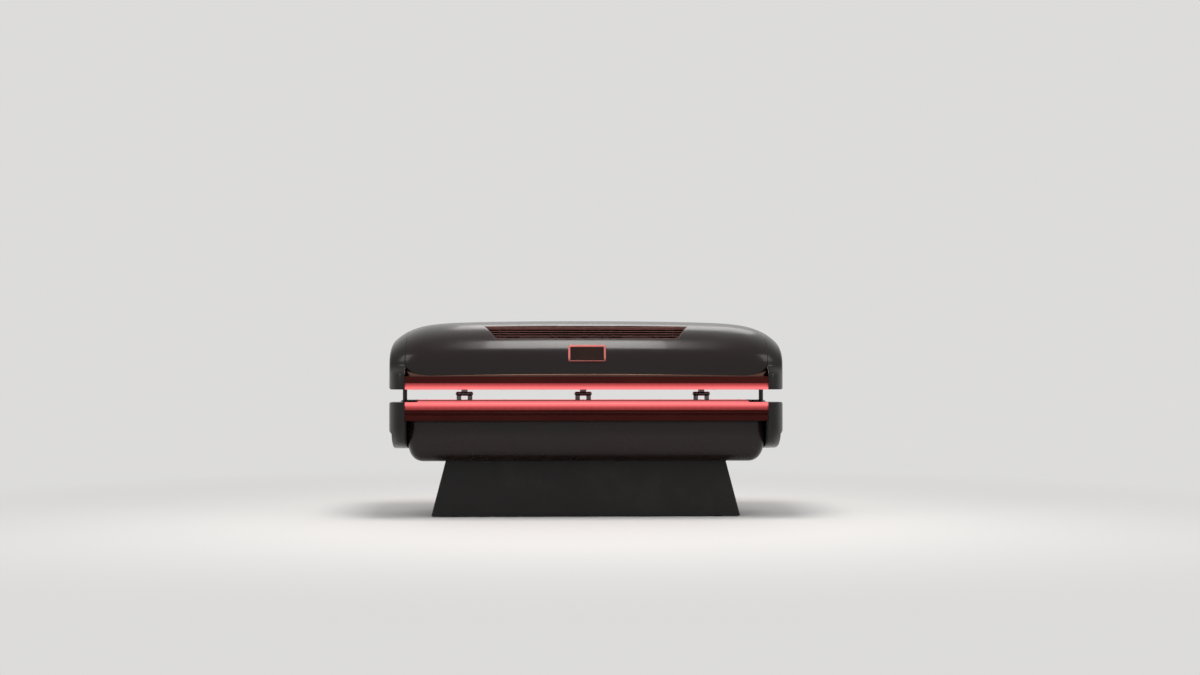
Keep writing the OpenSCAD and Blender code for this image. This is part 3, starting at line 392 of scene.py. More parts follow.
def brushed(name, colour, roughness, along):
    """Metal drawn or brushed along one axis."""
    look = Look(name)
    strokes = look.noise(2.0, 5.0, 0.7, look.stretched(along))
    cloud = look.noise(14.0, 3.0)
    base = look.mix(times(colour, 0.72), colour, strokes.over(0.25, 0.7))
    rough = strokes * 0.14 + cloud * 0.08 + (roughness - 0.10)
    return look.coated({
        "Base Color": base, "Roughness": rough, "Metallic": 1.0,
        "Normal": look.bump(strokes, 0.00004, 0.6),
    })


def glowing(name, colour, dark, low, high, bend):
    """Lit diffuser: brightest at its lip, darker away from it, with the lamps' faint rhythm."""
    look = Look(name)
    rise = look.axis("Z").over(low, high)
    along = look.axis("X")
    beat = (along * (math.tau / LAMP_PITCH)).calc("COSINE") * 0.012
    frost = look.noise(420.0, 2.0)
    ends = along.absolute().over(HALF_BAND - 0.012, HALF_BAND)
    lit = look.mix(dark, colour, (rise ** bend) + beat - ends * 0.3)
    core = look.mix(lit, (1.0, 0.235, 0.24), (rise ** 6.0) * 0.8)
    base = look.mix((0.16, 0.012, 0.013), (0.21, 0.016, 0.018), frost)
    return look.coated({
        "Base Color": base, "Roughness": frost * 0.12 + 0.34, "Specular IOR Level": 0.3,
        "Emission Color": core, "Emission Strength": 0.9,
    })


def clear_panel(name, painted_glow):
    """Clear acrylic with a faint warm tint, hairline scratches and cleaning haze, and painted light at the
    bench's rim: darker red, more opaque and glowing there, though the panel is no lamp.
    """
    look = Look(name)
    haze = look.noise(6.0, 4.0)
    hair = look.noise(30.0, 6.0, 0.8, look.stretched((1.0, 9.0, 9.0)))
    rough = haze.over(0.45, 0.8) * 0.05 + hair.over(0.6, 0.75) * 0.06 + 0.03
    # Painted light: the band's red glow is painted into colour, opacity and emission near the bench's rim
    rim = look.painted_rim_glow()
    return look.coated({
        "Base Color": look.mix((0.93, 0.86, 0.84), (0.16, 0.012, 0.013), rim), "Roughness": rough,
        "Alpha": haze.over(0.2, 0.9) * 0.06 + 0.22 + rim * 0.7, "IOR": 1.49, "Coat Weight": 0.8,
        "Coat Roughness": 0.03, "Emission Color": solid(painted_glow), "Emission Strength": rim * 0.9,
    })


def painted_light_deck(name, colour, tint, painted_glow):
    """Grained plastic with the band's light painted as a glow on its inner edge on the bench."""
    look = Look(name)
    pebble = look.noise(1200.0, 2.0, 0.6)
    patch = look.noise(3.5, 4.0)
    inner = look.axis("Y").absolute().over(INNER_Y - 0.050, INNER_Y - 0.090)
    # Painted light: inner edges that face across the bench glow near the rim
    edge = look.facing("Y").absolute().over(0.5, 0.9) * inner * look.painted_rim_glow()
    return look.coated({
        "Base Color": look.mix(colour, tint, patch.over(0.3, 0.75)), "Roughness": pebble * 0.12 + 0.42,
        "Specular IOR Level": 0.3, "Normal": look.bump(pebble, 0.00022, 0.8),
        "Emission Color": solid(painted_glow), "Emission Strength": edge * 0.9,
    })


def solder_mask(name):
    """White board, a little stained."""
    look = Look(name)
    dirt = look.noise(60.0, 3.0)
    base = look.mix((0.66, 0.65, 0.61), (0.74, 0.73, 0.69), dirt)
    return look.coated({
        "Base Color": base, "Roughness": dirt * 0.15 + 0.35, "Normal": look.bump(dirt, 0.0001, 0.5),
    })


def lamp_lens(name, colour):
    look = Look(name)
    inner = look.noise(300.0, 1.0)
    return look.coated({
        "Base Color": look.mix(colour, tuple(min(1.0, c * 1.8 + 0.02) for c in colour), inner),
        "Roughness": inner * 0.08 + 0.06, "Coat Weight": 1.0, "Coat Roughness": 0.03, "IOR": 1.5,
    })


def dark_glass(name, colour):
    """Display glass, switched on but dim: a brown-black field with a soft vignette."""
    look = Look(name)
    wipe = look.noise(25.0, 4.0, 0.6, look.stretched((1.0, 3.0, 3.0)))
    side = look.axis("X").absolute().over(0.02, 0.10)
    field = look.mix((0.012, 0.0030, 0.0015), (0.006, 0.0018, 0.0010), side)
    return look.coated({
        "Base Color": look.mix(colour, (0.012, 0.005, 0.0035), wipe.over(0.4, 0.8)),
        "Roughness": wipe.over(0.4, 0.9) * 0.05 + 0.05, "Coat Weight": 0.1, "Coat Roughness": 0.02,
        "Emission Color": field, "Emission Strength": 1.0, "Specular IOR Level": 0.16,
    })


def painted_light_bezel(name, colour):
    """Copper ring with painted light: a painted glow bright at its top and sides and strongest to the left,
    and painted shade at its foot that dims the glow and darkens the metal.
    """
    look = Look(name)
    strokes = look.noise(180.0, 4.0)
    # Painted light: glow and metal go from painted shade at the foot to painted highlight at the top, and the
    # glow is brighter on the left
    height = look.axis("Z").over(BEZEL_SHADE_Z, BEZEL_HIGHLIGHT_Z)
    left = look.axis("X").over(0.12, -0.12)
    lit = look.mix((0.50, 0.105, 0.100), (0.66, 0.150, 0.140), left)
    painted_glow = look.mix((0.030, 0.009, 0.010), lit, height)
    metal = look.mix(times(colour, 0.16), look.mix(times(colour, 0.8), colour, strokes), height)
    return look.coated({
        "Base Color": metal, "Roughness": strokes * 0.1 + 0.26, "Metallic": 1.0,
        "Emission Color": painted_glow, "Emission Strength": 0.62,
    })


def circuit(name):
    look = Look(name)
    tracks = look.node("ShaderNodeTexBrick", {"offset": 0.5}, {
        "Vector": look.place, "Scale": 90.0, "Mortar Size": 0.02, "Color1": (0.02, 0.12, 0.045, 1),
        "Color2": (0.03, 0.17, 0.06, 1), "Mortar": (0.10, 0.24, 0.09, 1),
    })
    return look.coated({"Base Color": tracks, "Roughness": look.noise(80.0) * 0.2 + 0.3})


def chrome(name, colour, roughness):
    look = Look(name)
    smear = look.noise(40.0, 3.0, 0.5, look.stretched((6.0, 6.0, 1.0)))
    return look.coated({
        "Base Color": look.mix(times(colour, 0.9), colour, smear),
        "Roughness": smear.over(0.4, 0.8) * 0.10 + roughness, "Metallic": 1.0,
    })


FINISHES = {}


def make_finishes(colours):
    """Every finish by its short name: the function that mixes it and what that function takes."""
    shell, cap, rail = tuple(colours.shell), tuple(colours.cap), tuple(colours.rail)
    pedestal, light = tuple(colours.pedestal), tuple(colours.light)
    trim, bezel = tuple(colours.trim), tuple(colours.bezel)
    # Red of the light painted onto the decks' inner edges and the acrylic at the rim
    lip = (1.0, 0.19, 0.20)
    bench_lit, lid_lit = (Z_LIGHT - 0.002, Z_RIM - 0.014, 2.1), (Z_LID_RAIL - 0.002, Z_LID + 0.010, 1.05)
    for key, make, name, *values in (
        ("shell", lacquer, "shell_lacquer", shell, (0.0100, 0.0055, 0.0050), 0.20),
        ("tub", lacquer, "tub_lacquer", shell, (0.011, 0.0055, 0.005), 0.26, 0.0),
        ("cap", lacquer, "cap_lacquer", cap, (0.009, 0.0065, 0.0062), 0.24),
        # Rails: dark red that paints in the bands' red light falling on them
        ("rail", textured, "rail_anodised", rail, (0.040, 0.0050, 0.004), 0.42, 900.0, 0.00006, 0.003, 0.06),
        ("pedestal", textured, "pedestal_powder_coat", pedestal, (0.011, 0.010, 0.010), 0.50,
         650.0, 0.00016, 0.02, 0.22),
        ("frame", textured, "frame_paint", (0.012, 0.012, 0.013), (0.018, 0.018, 0.019), 0.55,
         400.0, 0.0001, 0.005, 0.15),
        ("deck", painted_light_deck, "deck_grain", (0.018, 0.017, 0.017), (0.024, 0.022, 0.022), lip),
        # Second colour of the vents is a painted highlight on their front faces
        ("vent", louvred, "vent_plastic", (0.010, 0.0045, 0.0040), (0.340, 0.125, 0.105)),
        ("fan", textured, "fan_plastic", (0.004, 0.004, 0.0042), (0.006, 0.006, 0.006), 0.55,
         900.0, 0.00005, 0.002, 0.12),
        ("rubber", textured, "foot_rubber", (0.022, 0.022, 0.022), (0.03, 0.03, 0.03), 0.75, 1300.0, 0.0002),
        ("module", textured, "module_housing", (0.05, 0.05, 0.052), (0.07, 0.07, 0.072), 0.5),
        ("inlet", textured, "inlet_plastic", (0.014, 0.014, 0.014), (0.02, 0.02, 0.02), 0.4, 1400.0, 0.00005),
        ("rocker", lacquer, "rocker_gloss", (0.36, 0.016, 0.012), (0.30, 0.012, 0.010), 0.25,
         0.0, 0.15, 0.45),
        ("enamel", lacquer, "cylinder_enamel", (0.016, 0.016, 0.017), (0.022, 0.022, 0.022), 0.16, 0.0),
        ("trim", brushed, "trim_bronze", trim, 0.24, (2.0, 400.0, 400.0)),
        ("tray", brushed, "tray_galvanised", (0.48, 0.48, 0.49), 0.42, (20.0, 26.0, 20.0)),
        ("sink", brushed, "sink_aluminium", (0.36, 0.36, 0.37), 0.46, (3.0, 260.0, 260.0)),
        ("hinge", brushed, "hinge_plate", (0.44, 0.45, 0.47), 0.34, (180.0, 6.0, 6.0)),
        ("screw", brushed, "zinc_plate", (0.50, 0.50, 0.50), 0.30, (120.0, 120.0, 120.0)),
        ("pin", chrome, "polished_steel", (0.62, 0.63, 0.65), 0.12),
        ("rod", chrome, "hard_chrome", (0.78, 0.79, 0.80), 0.05),
        ("bench_glow", glowing, "bench_light", light, (0.050, 0.004, 0.004), *bench_lit),
        ("lid_glow", glowing, "lid_light", light, (0.055, 0.004, 0.004), *lid_lit),
        ("clear", clear_panel, "acrylic_sheet", lip),
        ("board", solder_mask, "lamp_board_mask"),
        ("lens", lamp_lens, "lamp_lens", (0.30, 0.020, 0.018)),
        ("infrared", lamp_lens, "lamp_lens_dark", (0.055, 0.010, 0.012)),
        ("circuit", circuit, "control_board_mask"),
        ("glass", dark_glass, "display_glass", (0.007, 0.003, 0.002)),
        ("bezel", painted_light_bezel, "display_bezel_copper", bezel),
    ):
        FINISHES[key] = make(name, *values)


# Meshes


def new_piece(name, data):
    piece = bpy.data.objects.new(name, data)
    bpy.context.scene.collection.objects.link(piece)
    return piece


@contextmanager
def edited(mesh):
    """The mesh opened for editing, and written back at the end."""
    work = bmesh.new()
    work.from_mesh(mesh)
    yield work
    work.to_mesh(mesh)
    work.free()


def mesh_piece(name, points, faces, outward=True):
    mesh = bpy.data.meshes.new(name)
    mesh.from_pydata([tuple(p) for p in points], [], faces)
    with edited(mesh) as work:
        bmesh.ops.remove_doubles(work, verts=work.verts, dist=1e-6)
        if outward:
            bmesh.ops.recalc_face_normals(work, faces=work.faces)
    return new_piece(name, mesh)


def loft(name, rings):
    """A closed body through rings of (x, y, z) points, all of one length."""
    count = len(rings[0])
    points = [p for r in rings for p in r]
    faces = []
    for i in range(len(rings) - 1):
        for j in range(count):
            a, b = i * count + j, i * count + (j + 1) % count
            faces.append((a, b, b + count, a + count))
    faces.append(tuple(range(count)))
    faces.append(tuple(range(len(points) - 1, len(points) - 1 - count, -1)))
    return mesh_piece(name, points, faces)


def ring(x, out, back):
    """Two outlines in y and z, joined to one ring at x."""
    return [(x, y, z) for y, z in out] + [(x, y, z) for y, z in reversed(back)]


def extruded(name, outline, x0, x1):
    """An outline in y and z, from x0 to x1."""
    return loft(name, [ring(x, outline, []) for x in (x0, x1)])


def upright(name, outline, z0, z1):
    """An outline in x and y, from z0 to z1."""
    return loft(name, [[(x, y, z) for x, y in outline] for z in (z0, z1)])


def between(y0, y1, z0, z1):
    """A rectangle in y and z."""
    return [(y0, z0), (y1, z0), (y1, z1), (y0, z1)]


def rounded(width, height, radius, steps=10):
    """A rectangle with round corners, as points."""
    points = []
    for cx, cy, start in ((1, 1, 0), (-1, 1, 90), (-1, -1, 180), (1, -1, 270)):
        for i in range(steps + 1):
            a = math.radians(start + 90 * i / steps)
            x, y = cx * (width / 2 - radius), cy * (height / 2 - radius)
            points.append((x + radius * math.cos(a), y + radius * math.sin(a)))
    return points


def plain(piece):
    """Applies all modifiers of a piece."""
    depsgraph = bpy.context.evaluated_depsgraph_get()
    depsgraph.update()
    mesh = bpy.data.meshes.new_from_object(piece.evaluated_get(depsgraph))
    piece.modifiers.clear()
    old = piece.data
    piece.data = mesh
    if old.users == 0:
        bpy.data.meshes.remove(old)
    return piece


def carve(piece, *cutters):
    """Cuts other bodies out of a piece."""
    for cutter in cutters:
        cut = piece.modifiers.new("cut", "BOOLEAN")
        cut.operation = "DIFFERENCE"
        cut.solver = "EXACT"
        cut.object = cutter
    plain(piece)
    for cutter in cutters:
        bpy.data.objects.remove(cutter)
    return piece


def smooth(piece, angle=32):
    with edited(piece.data) as work:
        bmesh.ops.dissolve_degenerate(work, edges=work.edges, dist=1e-6)
    piece.data.shade_smooth()
    piece.data.set_sharp_from_angle(angle=math.radians(angle))
    return piece


def bevel(piece, width, segments=2, angle=32):
    edge = piece.modifiers.new("edges", "BEVEL")
    edge.width = width
    edge.segments = segments
    edge.limit_method = "ANGLE"
    edge.angle_limit = math.radians(angle)
    edge.use_clamp_overlap = True
    edge.miter_outer = "MITER_ARC"
    return piece


def settle(piece, body, finish, slot, *nodes):
    """Gives a piece its finish and body, and hides the nodes that it stands for."""
    piece.data.materials.clear()
    piece.data.materials.append(FINISHES[finish])
    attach(piece, body)
    if nodes:
        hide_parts(*nodes)
    return piece


def dress(node, body, finish, slot, width, segments=2, angle=32):
    """A node's own solid with softened edges, in place of the node."""
    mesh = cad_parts[node].data.copy()
    with edited(mesh) as work:
        bmesh.ops.remove_doubles(work, verts=work.verts, dist=2e-6)
        bmesh.ops.join_triangles(
            work, faces=work.faces, angle_face_threshold=math.radians(0.5), angle_shape_threshold=math.pi
        )
    for layer in list(mesh.uv_layers):
        mesh.uv_layers.remove(layer)
    piece = smooth(new_piece(node + "_dressed", mesh), angle)
    if width:
        plain(bevel(piece, width, segments, angle))
        smooth(piece, angle + 10)
        even = piece.modifiers.new("normals", "WEIGHTED_NORMAL")
        even.keep_sharp = True
        plain(piece)
    return settle(piece, body, finish, slot, node)


def joined(pieces, name):
    """One piece from several, which go."""
    mesh = bpy.data.meshes.new(name)
    with edited(mesh) as work:
        for piece in pieces:
            work.from_mesh(piece.data)
            bpy.data.objects.remove(piece)
    return new_piece(name, mesh)


def moved(piece, matrix):
    piece.data.transform(matrix)
    return piece


# Geometry Nodes


class Grower(Tree):
    """A Geometry Nodes tree with named inputs that ends in Realize Instances and Set Material."""

    def __init__(self, name, **inputs):
        group = bpy.data.node_groups.new(name, "GeometryNodeTree")
        super().__init__(group)
        kinds = {float: "NodeSocketFloat", int: "NodeSocketInt"}
        group.interface.new_socket("Geometry", in_out="INPUT", socket_type="NodeSocketGeometry")
        self.names = {}
        for label, value in inputs.items():
            socket = group.interface.new_socket(label, in_out="INPUT", socket_type=kinds[type(value)])
            socket.default_value = value
            self.names[label] = socket.identifier
        finish = group.interface.new_socket("finish", in_out="INPUT", socket_type="NodeSocketMaterial")
        self.names["finish"] = finish.identifier
        group.interface.new_socket("Geometry", in_out="OUTPUT", socket_type="NodeSocketGeometry")
        self.entry = self.node("NodeGroupInput")

    def given(self, name):
        return self.entry.output(name)

    def vector(self, x=0.0, y=0.0, z=0.0):
        return self.node("ShaderNodeCombineXYZ", inputs=(x, y, z))

    def part(self, name):
        place = self.node("GeometryNodeInputPosition")
        return self.node("ShaderNodeSeparateXYZ", inputs=(place,), output=name)

    def shaped(self, mesh, x, y, z):
        inputs = {"Geometry": mesh, "Position": self.vector(x, y, z)}
        return self.node("GeometryNodeSetPosition", inputs=inputs)

    def placed(self, mesh, **values):
        return self.node("GeometryNodeTransform", inputs={"Geometry": mesh, **values})

    def together(self, *meshes):
        return self.node("GeometryNodeJoinGeometry", inputs=(list(meshes),))

    def close(self, shape):
        real = self.node("GeometryNodeRealizeInstances", inputs=(shape,))
        inputs = {"Geometry": real, "Material": self.given("finish")}
        done = self.node("GeometryNodeSetMaterial", inputs=inputs)
        self.node("NodeGroupOutput", inputs=(done,))
        return self

    def grow(self, name, finish, mesh=None, **values):
        """A new piece with the tree's result as its plain mesh."""
        piece = new_piece(name, mesh or bpy.data.meshes.new(name))
        maker = piece.modifiers.new("maker", "NODES")
        maker.node_group = self.tree
        for label, value in values.items():
            maker[self.names[label]] = value
        maker[self.names["finish"]] = FINISHES[finish]
        return plain(piece)


def scatter_mesh(name, points, aims):
    """Bare points that carry the direction in which what stands on them looks."""
    mesh = bpy.data.meshes.new(name)
    mesh.from_pydata([tuple(p) for p in points], [], [])
    aim = mesh.attributes.new("aim", "FLOAT_VECTOR", "POINT")
    aim.data.foreach_set("vector", [c for a in aims for c in a])
    return mesh


def standing(grower, unit):
    """The unit on every point, with its own z axis along the point's aim."""
    vectors = {"data_type": "FLOAT_VECTOR"}
    aim = grower.node("GeometryNodeInputNamedAttribute", vectors, {"Name": "aim"}, "Attribute")
    turn = grower.node("FunctionNodeAlignRotationToVector", {"axis": "Z"}, {"Vector": aim})
    return grower.node("GeometryNodeInstanceOnPoints", inputs={
        "Points": grower.given("Geometry"), "Instance": unit, "Rotation": turn,
    })


def lens_tree():
    """Low domes of clear resin on every point."""
    grower = Grower("lamp_lenses", radius=0.0042, height=0.0035)
    radius = grower.given("radius")
    ball = grower.node("GeometryNodeMeshUVSphere", inputs={"Segments": 10, "Rings": 5, "Radius": radius})
    ball = grower.placed(ball, Scale=grower.vector(1.0, 1.0, grower.given("height") / radius))
    return grower.close(standing(grower, ball))


def screw_tree():
    """Button heads with a hexagonal socket."""
    grower = Grower("button_screws", radius=0.0045, height=0.0024)
    radius, height = grower.given("radius"), grower.given("height")
    head = grower.node("GeometryNodeMeshCone", inputs={
        "Vertices": 20, "Side Segments": 1, "Depth": height,
        "Radius Top": radius * 0.72, "Radius Bottom": radius,
    })
    inputs = {"Vertices": 6, "Radius": radius * 0.42, "Depth": height}
    socket = grower.node("GeometryNodeMeshCylinder", inputs=inputs)
    socket = grower.placed(socket, Translation=grower.vector(0.0, 0.0, height))
    exact = {"operation": "DIFFERENCE", "solver": "EXACT"}
    return grower.close(standing(grower, grower.node("GeometryNodeMeshBoolean", exact, (head, socket))))


def slat_tree():
    """Louvre slats of a leaning, rounded section, one above the other, each as long as the field there."""
    grower = Grower(
        "louvre_slats", count=5, pitch=0.0323, low=-0.065, length=1.13, growth=0.683, lean=-0.5,
        width=0.028, depth=0.0046,
    )
    given = grower.given
    line = grower.node("GeometryNodeMeshLine", inputs={
        "Count": given("count"), "Start Location": grower.vector(0.0, given("low"), 0.0),
        "Offset": grower.vector(0.0, given("pitch"), 0.0),
    })
    rod = grower.node("GeometryNodeMeshCylinder", inputs={"Vertices": 28, "Radius": 0.5, "Depth": 1.0})
    round_x, round_y = grower.part("X"), grower.part("Y")
    across, thick = [v.calc("SIGN") * (v.absolute() * 0.5) ** 0.5 for v in (round_x, round_y)]
    bar = grower.shaped(rod, grower.part("Z"), across * given("width"), thick * given("depth"))
    lean = grower.node("FunctionNodeEulerToRotation", inputs=(grower.vector(given("lean"), 0.0, 0.0),))
    length = given("length") + given("growth") * grower.part("Y")
    return grower.close(grower.node("GeometryNodeInstanceOnPoints", inputs={
        "Points": line, "Instance": bar, "Scale": grower.vector(length, 1.0, 1.0), "Rotation": lean,
    }))


def guard_tree():
    """Wire guard of a fan: rings one outside the other on crossed wires."""
    grower = Grower("fan_guard", rings=5, spacing=0.0105, wire=0.0009)
    rings, spacing = grower.given("rings"), grower.given("spacing")
    middles = grower.node("GeometryNodeMeshLine", inputs={"Count": rings, "Offset": (0.0, 0.0, 0.0)})
    hoop = grower.node("GeometryNodeCurvePrimitiveCircle", inputs={"Resolution": 48, "Radius": 1.0})
    grown = (grower.node("GeometryNodeInputIndex") + 1.0) * spacing
    hoops = grower.node("GeometryNodeInstanceOnPoints", inputs={
        "Points": middles, "Instance": hoop, "Scale": grower.vector(grown, grown, 1.0),
    })
    hoops = grower.node("GeometryNodeRealizeInstances", inputs=(hoops,))
    reach = rings * spacing + 0.004
    spokes = []
    for turn in (math.pi / 4, -math.pi / 4):
        x, y = reach * math.cos(turn), reach * math.sin(turn)
        spokes.append(grower.node("GeometryNodeCurvePrimitiveLine", inputs={
            "Start": grower.vector(x, y, 0.0), "End": grower.vector(x * -1.0, y * -1.0, 0.0),
        }))
    wire = grower.given("wire")
    section = grower.node("GeometryNodeCurvePrimitiveCircle", inputs={"Resolution": 8, "Radius": wire})
    return grower.close(grower.node("GeometryNodeCurveToMesh", inputs={
        "Curve": grower.together(hoops, *spokes), "Profile Curve": section, "Fill Caps": True,
    }))


def dome_tree():
    """The dome's skin by its rule: a powered oval whose crest and sides fall away towards the ends."""
    grower = Grower(
        "dome_skin", half_band=HALF_BAND, half_length=HALF_L, half_depth=DOME_HALF, wide_z=Z_WIDE,
        top_z=Z_TOP, crown_fall=CROWN_FALL, end_fall=END_FALL, end_tuck=END_TUCK, fullness=DOME_N,
        end_power=float(END_POWER), belt_z=Z_BELT,
    )
    given = grower.given
    sheet = grower.node("GeometryNodeMeshGrid", inputs={
        "Size X": 2.0, "Size Y": 2.2, "Vertices X": 121, "Vertices Y": 111,
    })
    x = (grower.part("X") * (math.pi / 2)).calc("SINE") * given("half_band")
    round_y, reach = grower.part("Y"), x.absolute()
    skirt = (round_y.absolute() - 1.0).most(0.0) * 10.0
    angle = (round_y.most(-1.0).least(1.0) + 1.0) * (math.pi / 2)
    part = (reach / given("half_length")) ** given("end_power")
    half = given("half_depth") - given("end_tuck") * part
    ratio = x / given("half_length")
    crest = given("top_z") - given("crown_fall") * ratio * ratio - given("end_fall") * part
    inverse = (given("fullness") ** -1.0) * 2.0
    cosine = angle.calc("COSINE")
    side = (cosine.absolute() ** inverse) * cosine.calc("SIGN")
    rise = angle.calc("SINE").most(0.0) ** inverse
    past = (reach - SILL_FLAT).most(0.0) / (HALF_BAND - SILL_FLAT)
    near = (reach / SILL_FLAT).least(1.0)
    sill = given("belt_z") + SILL_TOP - near * near * SILL_DIP + past * past * SILL_LIFT
    y = side * (half - skirt * 0.006)
    z = (crest - given("wide_z")) * rise + given("wide_z") - (given("wide_z") - sill) * skirt
    return grower.close(grower.shaped(sheet, x, y, z))


# Bodies that several pieces share


def edge_round(x):
    """How far a cap's outline draws in at x, between its rounded seam and its rounded end."""
    total = 0.0
    for r, past in ((EDGE_R, x - (HALF_L - EDGE_R)), (SEAM_R, (HALF_BAND + FIT + SEAM_R) - x)):
        ratio = max(0.0, past / r)
        total += r * (1 - math.sqrt(max(0.0, 1 - ratio * ratio)))
    return total


def cap_stations():
    start = HALF_BAND + FIT
    near = [start + SEAM_R * (1 - math.cos(math.radians(a))) for a in (0, 20, 40, 60, 90)]
    middle = [start + SEAM_R + (HALF_L - EDGE_R - start - SEAM_R) * i / 12 for i in range(1, 13)]
    far = [HALF_L - EDGE_R + EDGE_R * math.sin(math.radians(90 * i / 10)) for i in range(1, 11)]
    return near + middle + far


def cap_half(x):
    return FRONT - 0.003 - CAP_DRAW * (max(x - HALF_BAND, 0) / CAP_T) ** CAP_BEND


def lid_cap_out(x, e, steps=96):
    half = cap_half(x) - e
    dome = dome_arc(x, e, steps)
    sides = [(half, Z_LID + e)]
    for i in range(9):
        t = i / 9
        blend = t * t * (3 - 2 * t)
        sides.append((half + (dome[0][0] - half) * blend, SHOULDER_Z + (Z_WIDE - SHOULDER_Z) * t))
    return sides + dome + [(-y, z) for y, z in reversed(sides)]


def lid_mouth(e, steps=60):
    r = ARCH_R - 0.070 + e
    c = Z_LID - MOUTH_DROP
    a = math.degrees(math.asin((Z_LID + e - c) / r))
    return arc(c, r, a, 180 - a, steps)


def bench_cap_out(x, e, steps=90):
    half, top = cap_half(x) - e, Z_RIM - e
    depth = WING_H - (Z_RIM - Z_RAIL) - e
    low = oval(0, Z_RAIL, half, depth, WING_ROUND, math.pi, math.tau, steps)
    return [(-half, top)] + low + [(half, top)]


def bench_mouth(e, steps=60):
    r = TROUGH_R - 0.020 + e
    a = math.degrees(math.acos((TROUGH_C - Z_RIM + e) / r))
    return arc(TROUGH_C, r, -90 - a, -90 + a, steps)


def spring_slot(flip):
    """The room that a gas spring sweeps in an end cap, over its stud or, flipped, under it."""
    stud, high = HINGE_Z - STUD_DROP, Z_RIM + 0.007
    swing = (high - stud) * math.tan(HALF_SWING) + SPRING_ROOM / math.cos(HALF_SWING)
    outline = [
        (SPRING_Y - SPRING_ROOM, stud - 0.022), (SPRING_Y + 0.024, stud - 0.022),
        (SPRING_Y + swing + 0.010, high), (SPRING_Y - SPRING_ROOM, high),
    ]
    if flip:
        outline = [(y, 2 * HINGE_Z - z) for y, z in outline]
    return extruded("slot", outline, SPRING_X - 0.019, SPRING_X + 0.019)


def cap_piece(name, out, mouth, flip):
    """One hollow end cap, at the +x end."""
    insets = [(x, edge_round(x)) for x in cap_stations()]
    body = loft(name, [ring(x, out(x, e), mouth(e)) for x, e in insets])
    end = HALF_L - CAP_STEP - CAP_WALL
    stops = [HALF_BAND - OVER] + [HALF_BAND + (end - HALF_BAND) * i / 6 for i in range(1, 7)]
    hollow = loft("hollow", [ring(x, out(x, CAP_WALL), mouth(CAP_WALL)) for x in stops])
    return carve(body, hollow, spring_slot(flip))


def settle_caps(right, body):
    """Gives the right cap and its mirrored twin their finish and body."""
    twin = new_piece(f"{body}_cap_left_shell", smooth(right, 24).data.copy())
    moved(twin, Matrix.Scale(-1, 4, (1, 0, 0))).data.flip_normals()
    settle(right, body, "cap", "cap_black", f"{body}_cap_right")
    settle(smooth(twin, 24), body, "cap", "cap_black", f"{body}_cap_left")


def lens_points(centre, radius, rows, half, arc_radius, middle):
    """Places and directions of the lenses on boards along an arc, in two interleaved groups."""
    red, dark = ([], []), ([], [])
    step = 2 * math.degrees(math.asin(half / arc_radius)) / rows
    pitch = 2 * radius * math.tan(math.radians(step / 2)) / (LENS_ROWS + 0.4)
    spots = [(a, b) for a in range(LENS_COLUMNS) for b in range(LENS_ROWS)]
    for k in range(-2, 2):
        for i in range(rows):
            angle = math.radians(middle + step * (i - (rows - 1) / 2))
            cosine, sine = math.cos(angle), math.sin(angle)
            point = Vector(((k + 0.5) * RIB_PITCH, radius * cosine, centre + radius * sine))
            side, inward = Vector((0, -sine, cosine)), Vector((0, -cosine, -sine))
            for a, b in spots:
                along = Vector(((a - (LENS_COLUMNS - 1) / 2) * LENS_PITCH, 0, 0))
                points, aims = dark if (a + b) % 2 else red
                points.append(point + along + side * (b - (LENS_ROWS - 1) / 2) * pitch + inward * 0.0002)
                aims.append(inward)
    return red, dark


# Sizes and colours that a user would change


def length_of(label, text, value, low, high):
    return FloatProperty(
        name=label, description=text, default=value, min=low, max=high, subtype="DISTANCE", unit="LENGTH",
    )


def count_of(label, text, value, low, high):
    return IntProperty(name=label, description=text, default=value, min=low, max=high)


def colour_of(label, text, value):
    return FloatVectorProperty(
        name=label, description=text, default=value, min=0, max=1, size=3, subtype="COLOR",
    )


def strength_of(label, text, value, unit="NONE", low=0):
    return FloatProperty(name=label, description=text, default=value, min=low, unit=unit)


class PodSizes(bpy.types.PropertyGroup):
    """Sizes of the details that the frame leaves open."""

    lens_radius: length_of("Lens radius", "Radius of one lamp lens", 0.0050, 0.002, 0.006)
    slat_count: count_of("Slats", "Number of louvre slats", 5, 4, 6)
    guard_rings: count_of("Guard rings", "Wire rings in a fan guard", 5, 3, 5)
    edge: length_of("Edge softness", "Bevel on the edges of the service panel", 0.0010, 0.0003, 0.0015)


class PodColours(bpy.types.PropertyGroup):
    """Main colours of the finishes."""

    shell: colour_of("Shell", "Lacquer of the dome and the tub", (0.0085, 0.0048, 0.0044))
    cap: colour_of("End caps", "Lacquer of the end caps", (0.0060, 0.0046, 0.0045))
    # Dark red on near-black: painted light, the bands' red glow spilled onto the rails
    rail: colour_of("Rails", "Finish of the rails beside the light bands", (0.032, 0.0038, 0.0032))
    pedestal: colour_of("Pedestal", "Powder coat of the pedestal", (0.0075, 0.0068, 0.0068))
    light: colour_of("Light", "Colour of the lit bands", (1.0, 0.144, 0.156))
    trim: colour_of("Trim", "Metal of the trim line under the dome", (0.135, 0.070, 0.053))
    bezel: colour_of("Bezel", "Metal of the display's ring", (0.36, 0.13, 0.115))


class PodStudio(bpy.types.PropertyGroup):
    """Floor, background and lamps."""

    floor: colour_of("Floor", "Colour of the floor", (0.76, 0.755, 0.75))
    sky: colour_of("Background", "Colour of the background", (0.72, 0.715, 0.71))
    key: strength_of("Key light", "Power of the main lamp", 135.0, "POWER")
    fill: strength_of("Fill light", "Power of each side lamp", 38.0, "POWER")
    air: strength_of("Ambient", "Strength of the light from all around", 0.58)
    lens: strength_of("Lens", "Focal length of the camera", 51.7, "CAMERA", 10)


